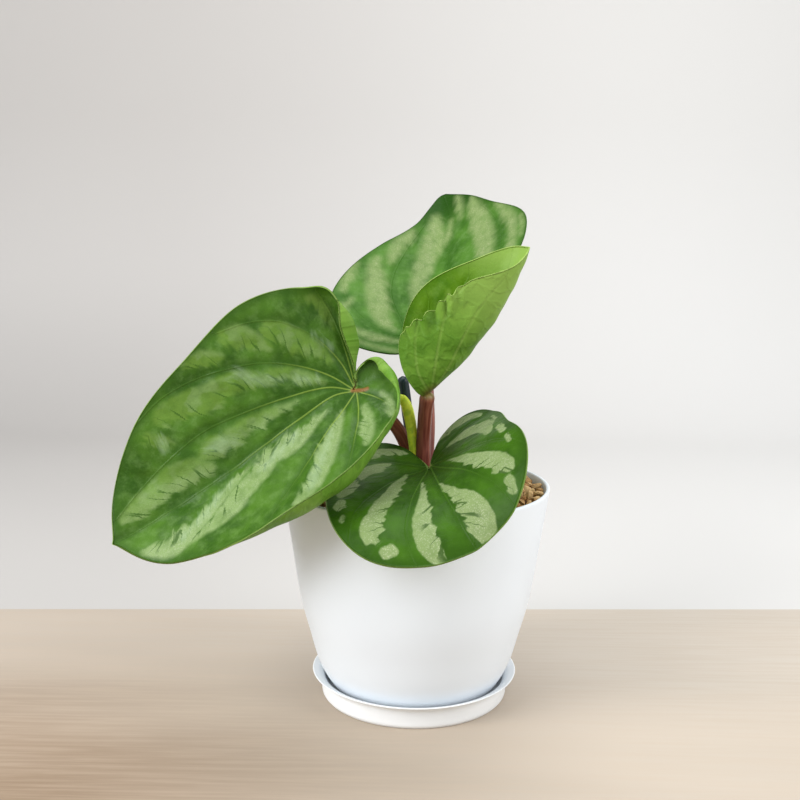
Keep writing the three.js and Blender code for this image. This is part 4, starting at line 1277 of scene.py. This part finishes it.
def area_light(name, place, target, size, power):
    light = bpy.data.lights.new(name, "AREA")
    light.shape = "DISK"
    light.size = size * MM
    light.energy = power
    lamp = bpy.data.objects.new(name, light)
    lamp.location = np.array(place, float) * MM
    lamp.rotation_euler = direction(np.subtract(target, place)).to_euler()
    bpy.context.scene.collection.objects.link(lamp)


def direction(toward):
    """The turn that points an object's -Z along a direction, with +Z as its upward side."""
    back = -unit(np.array(toward, float))
    right = unit(np.cross((0, 0, 1), back))
    up = np.cross(back, right)
    return Matrix(np.stack([right, up, back], axis=1).tolist())


def lights():
    world = bpy.data.worlds.new("studio")
    world.use_nodes = True
    background = world.node_tree.nodes["Background"]
    background.inputs["Color"].default_value = SKY["colour"]
    background.inputs["Strength"].default_value = SKY["strength"]
    bpy.context.scene.world = world
    for light in LIGHTS:
        area_light(*light)


def camera():
    pitch, yaw, roll = np.radians([CAMERA["pitch"], CAMERA["yaw"], CAMERA["roll"]])
    forward = np.array([math.sin(yaw) * math.cos(pitch), math.cos(yaw) * math.cos(pitch), -math.sin(pitch)])
    right = np.array([math.cos(yaw), -math.sin(yaw), 0])
    up = np.cross(right, forward)
    turned_right = right * math.cos(roll) + up * math.sin(roll)
    turned_up = up * math.cos(roll) - right * math.sin(roll)
    lens = bpy.data.cameras.new("photo_camera")
    lens.sensor_width = SENSOR
    lens.lens = SENSOR * CAMERA["focal_pixels"] / PICTURE
    lens.clip_start = 0.01
    view = bpy.data.objects.new("photo_camera", lens)
    rotation = Matrix(np.stack([turned_right, turned_up, -forward], axis=1).tolist()).to_4x4()
    view.matrix_world = Matrix.Translation(np.array(CAMERA["place"], float) * MM) @ rotation
    bpy.context.scene.collection.objects.link(view)
    bpy.context.scene.camera = view
    bpy.context.scene.view_settings.view_transform = "Standard"


camera()
saucer()
pot()
granules()
petioles()
new_shoot()
stake()

FRONT_UPPER = leaf_upper(
    "leaf_front_upper", gloss=0.1, dark=(39, 72, 9), mid=(57, 97, 15), silver=(158, 170, 132),
    silver_dim=(116, 138, 82), soft=0.45, fringe=6.0, line=(92, 134, 44), line_share=0.4,
    line_reach=0.8, heart=(136, 142, 76), lip=(132, 166, 84), veiled=0.15,
    painted_sheen=(0.1, (90, 128, 50)))
BACK_UPPER = leaf_upper(
    "leaf_back_upper", gloss=0.06, dark=(50, 90, 24), mid=(74, 116, 40), silver=(150, 160, 116),
    silver_dim=(114, 138, 80), soft=2.6, fringe=4.4, line=(70, 110, 36), line_share=0.1,
    line_reach=0.8, heart=(120, 110, 60), lip=(72, 112, 44), veiled=0.35, cracked=0.15,
    painted_sheen=(0.3, (112, 146, 84)), tip=(66, 84, 0.0, 1.0, (34, 70, 14)))
LARGE_UPPER = leaf_upper(
    "leaf_large_upper", gloss=0.2, dark=(44, 80, 14), mid=(70, 109, 28), silver=(146, 164, 120),
    silver_dim=(118, 144, 84), soft=1.3, fringe=8.5, line=(132, 156, 62), line_share=0.65,
    line_reach=0.6, heart=(134, 92, 50), lip=(126, 158, 72), veiled=0.3,
    painted_sheen=(0.3, (112, 146, 78)), glint=(160, 182, 148), shade_dimming=(-2.0, 16.0, (100, 133, 50)))
YOUNG_UPPER = leaf_upper(
    "young_leaf_upper", gloss=0.12, dark=(68, 112, 8), mid=(92, 134, 22), silver=(130, 164, 66),
    silver_dim=(120, 154, 60), soft=1.6, fringe=5.0, line=(136, 168, 74), line_share=0.4,
    line_reach=0.9, heart=(130, 120, 60), lip=(170, 200, 104), cracked=0.2,
    painted_sheen=(0.2, (136, 172, 80)), tip=(42, 62, 0.0, 1.0, (136, 170, 76)))
LEAF_UNDER = leaf_under(
    "leaf_underside", body=(88, 132, 38), pale=(116, 154, 62), vein_colour=(144, 170, 94),
    vein_share=0.7, heart=(118, 80, 50), blotch=(84, 120, 42), net_share=0.15)
YOUNG_UNDER = leaf_under(
    "young_leaf_underside", body=(80, 122, 32), pale=(106, 146, 50),
    vein_colour=(138, 166, 82), vein_share=0.4, heart=(100, 88, 40),
    blotch=(62, 102, 22), net_share=0.12, tip=(22, 50, 0.0, 0.85, (136, 170, 78)))

blade("leaf_large", LARGE_UPPER, LEAF_UNDER)
blade("leaf_back", BACK_UPPER, LEAF_UNDER)
blade("leaf_front", FRONT_UPPER, LEAF_UNDER)
blade("leaf_young", YOUNG_UPPER, YOUNG_UNDER)

floor_and_sweep()
lights()
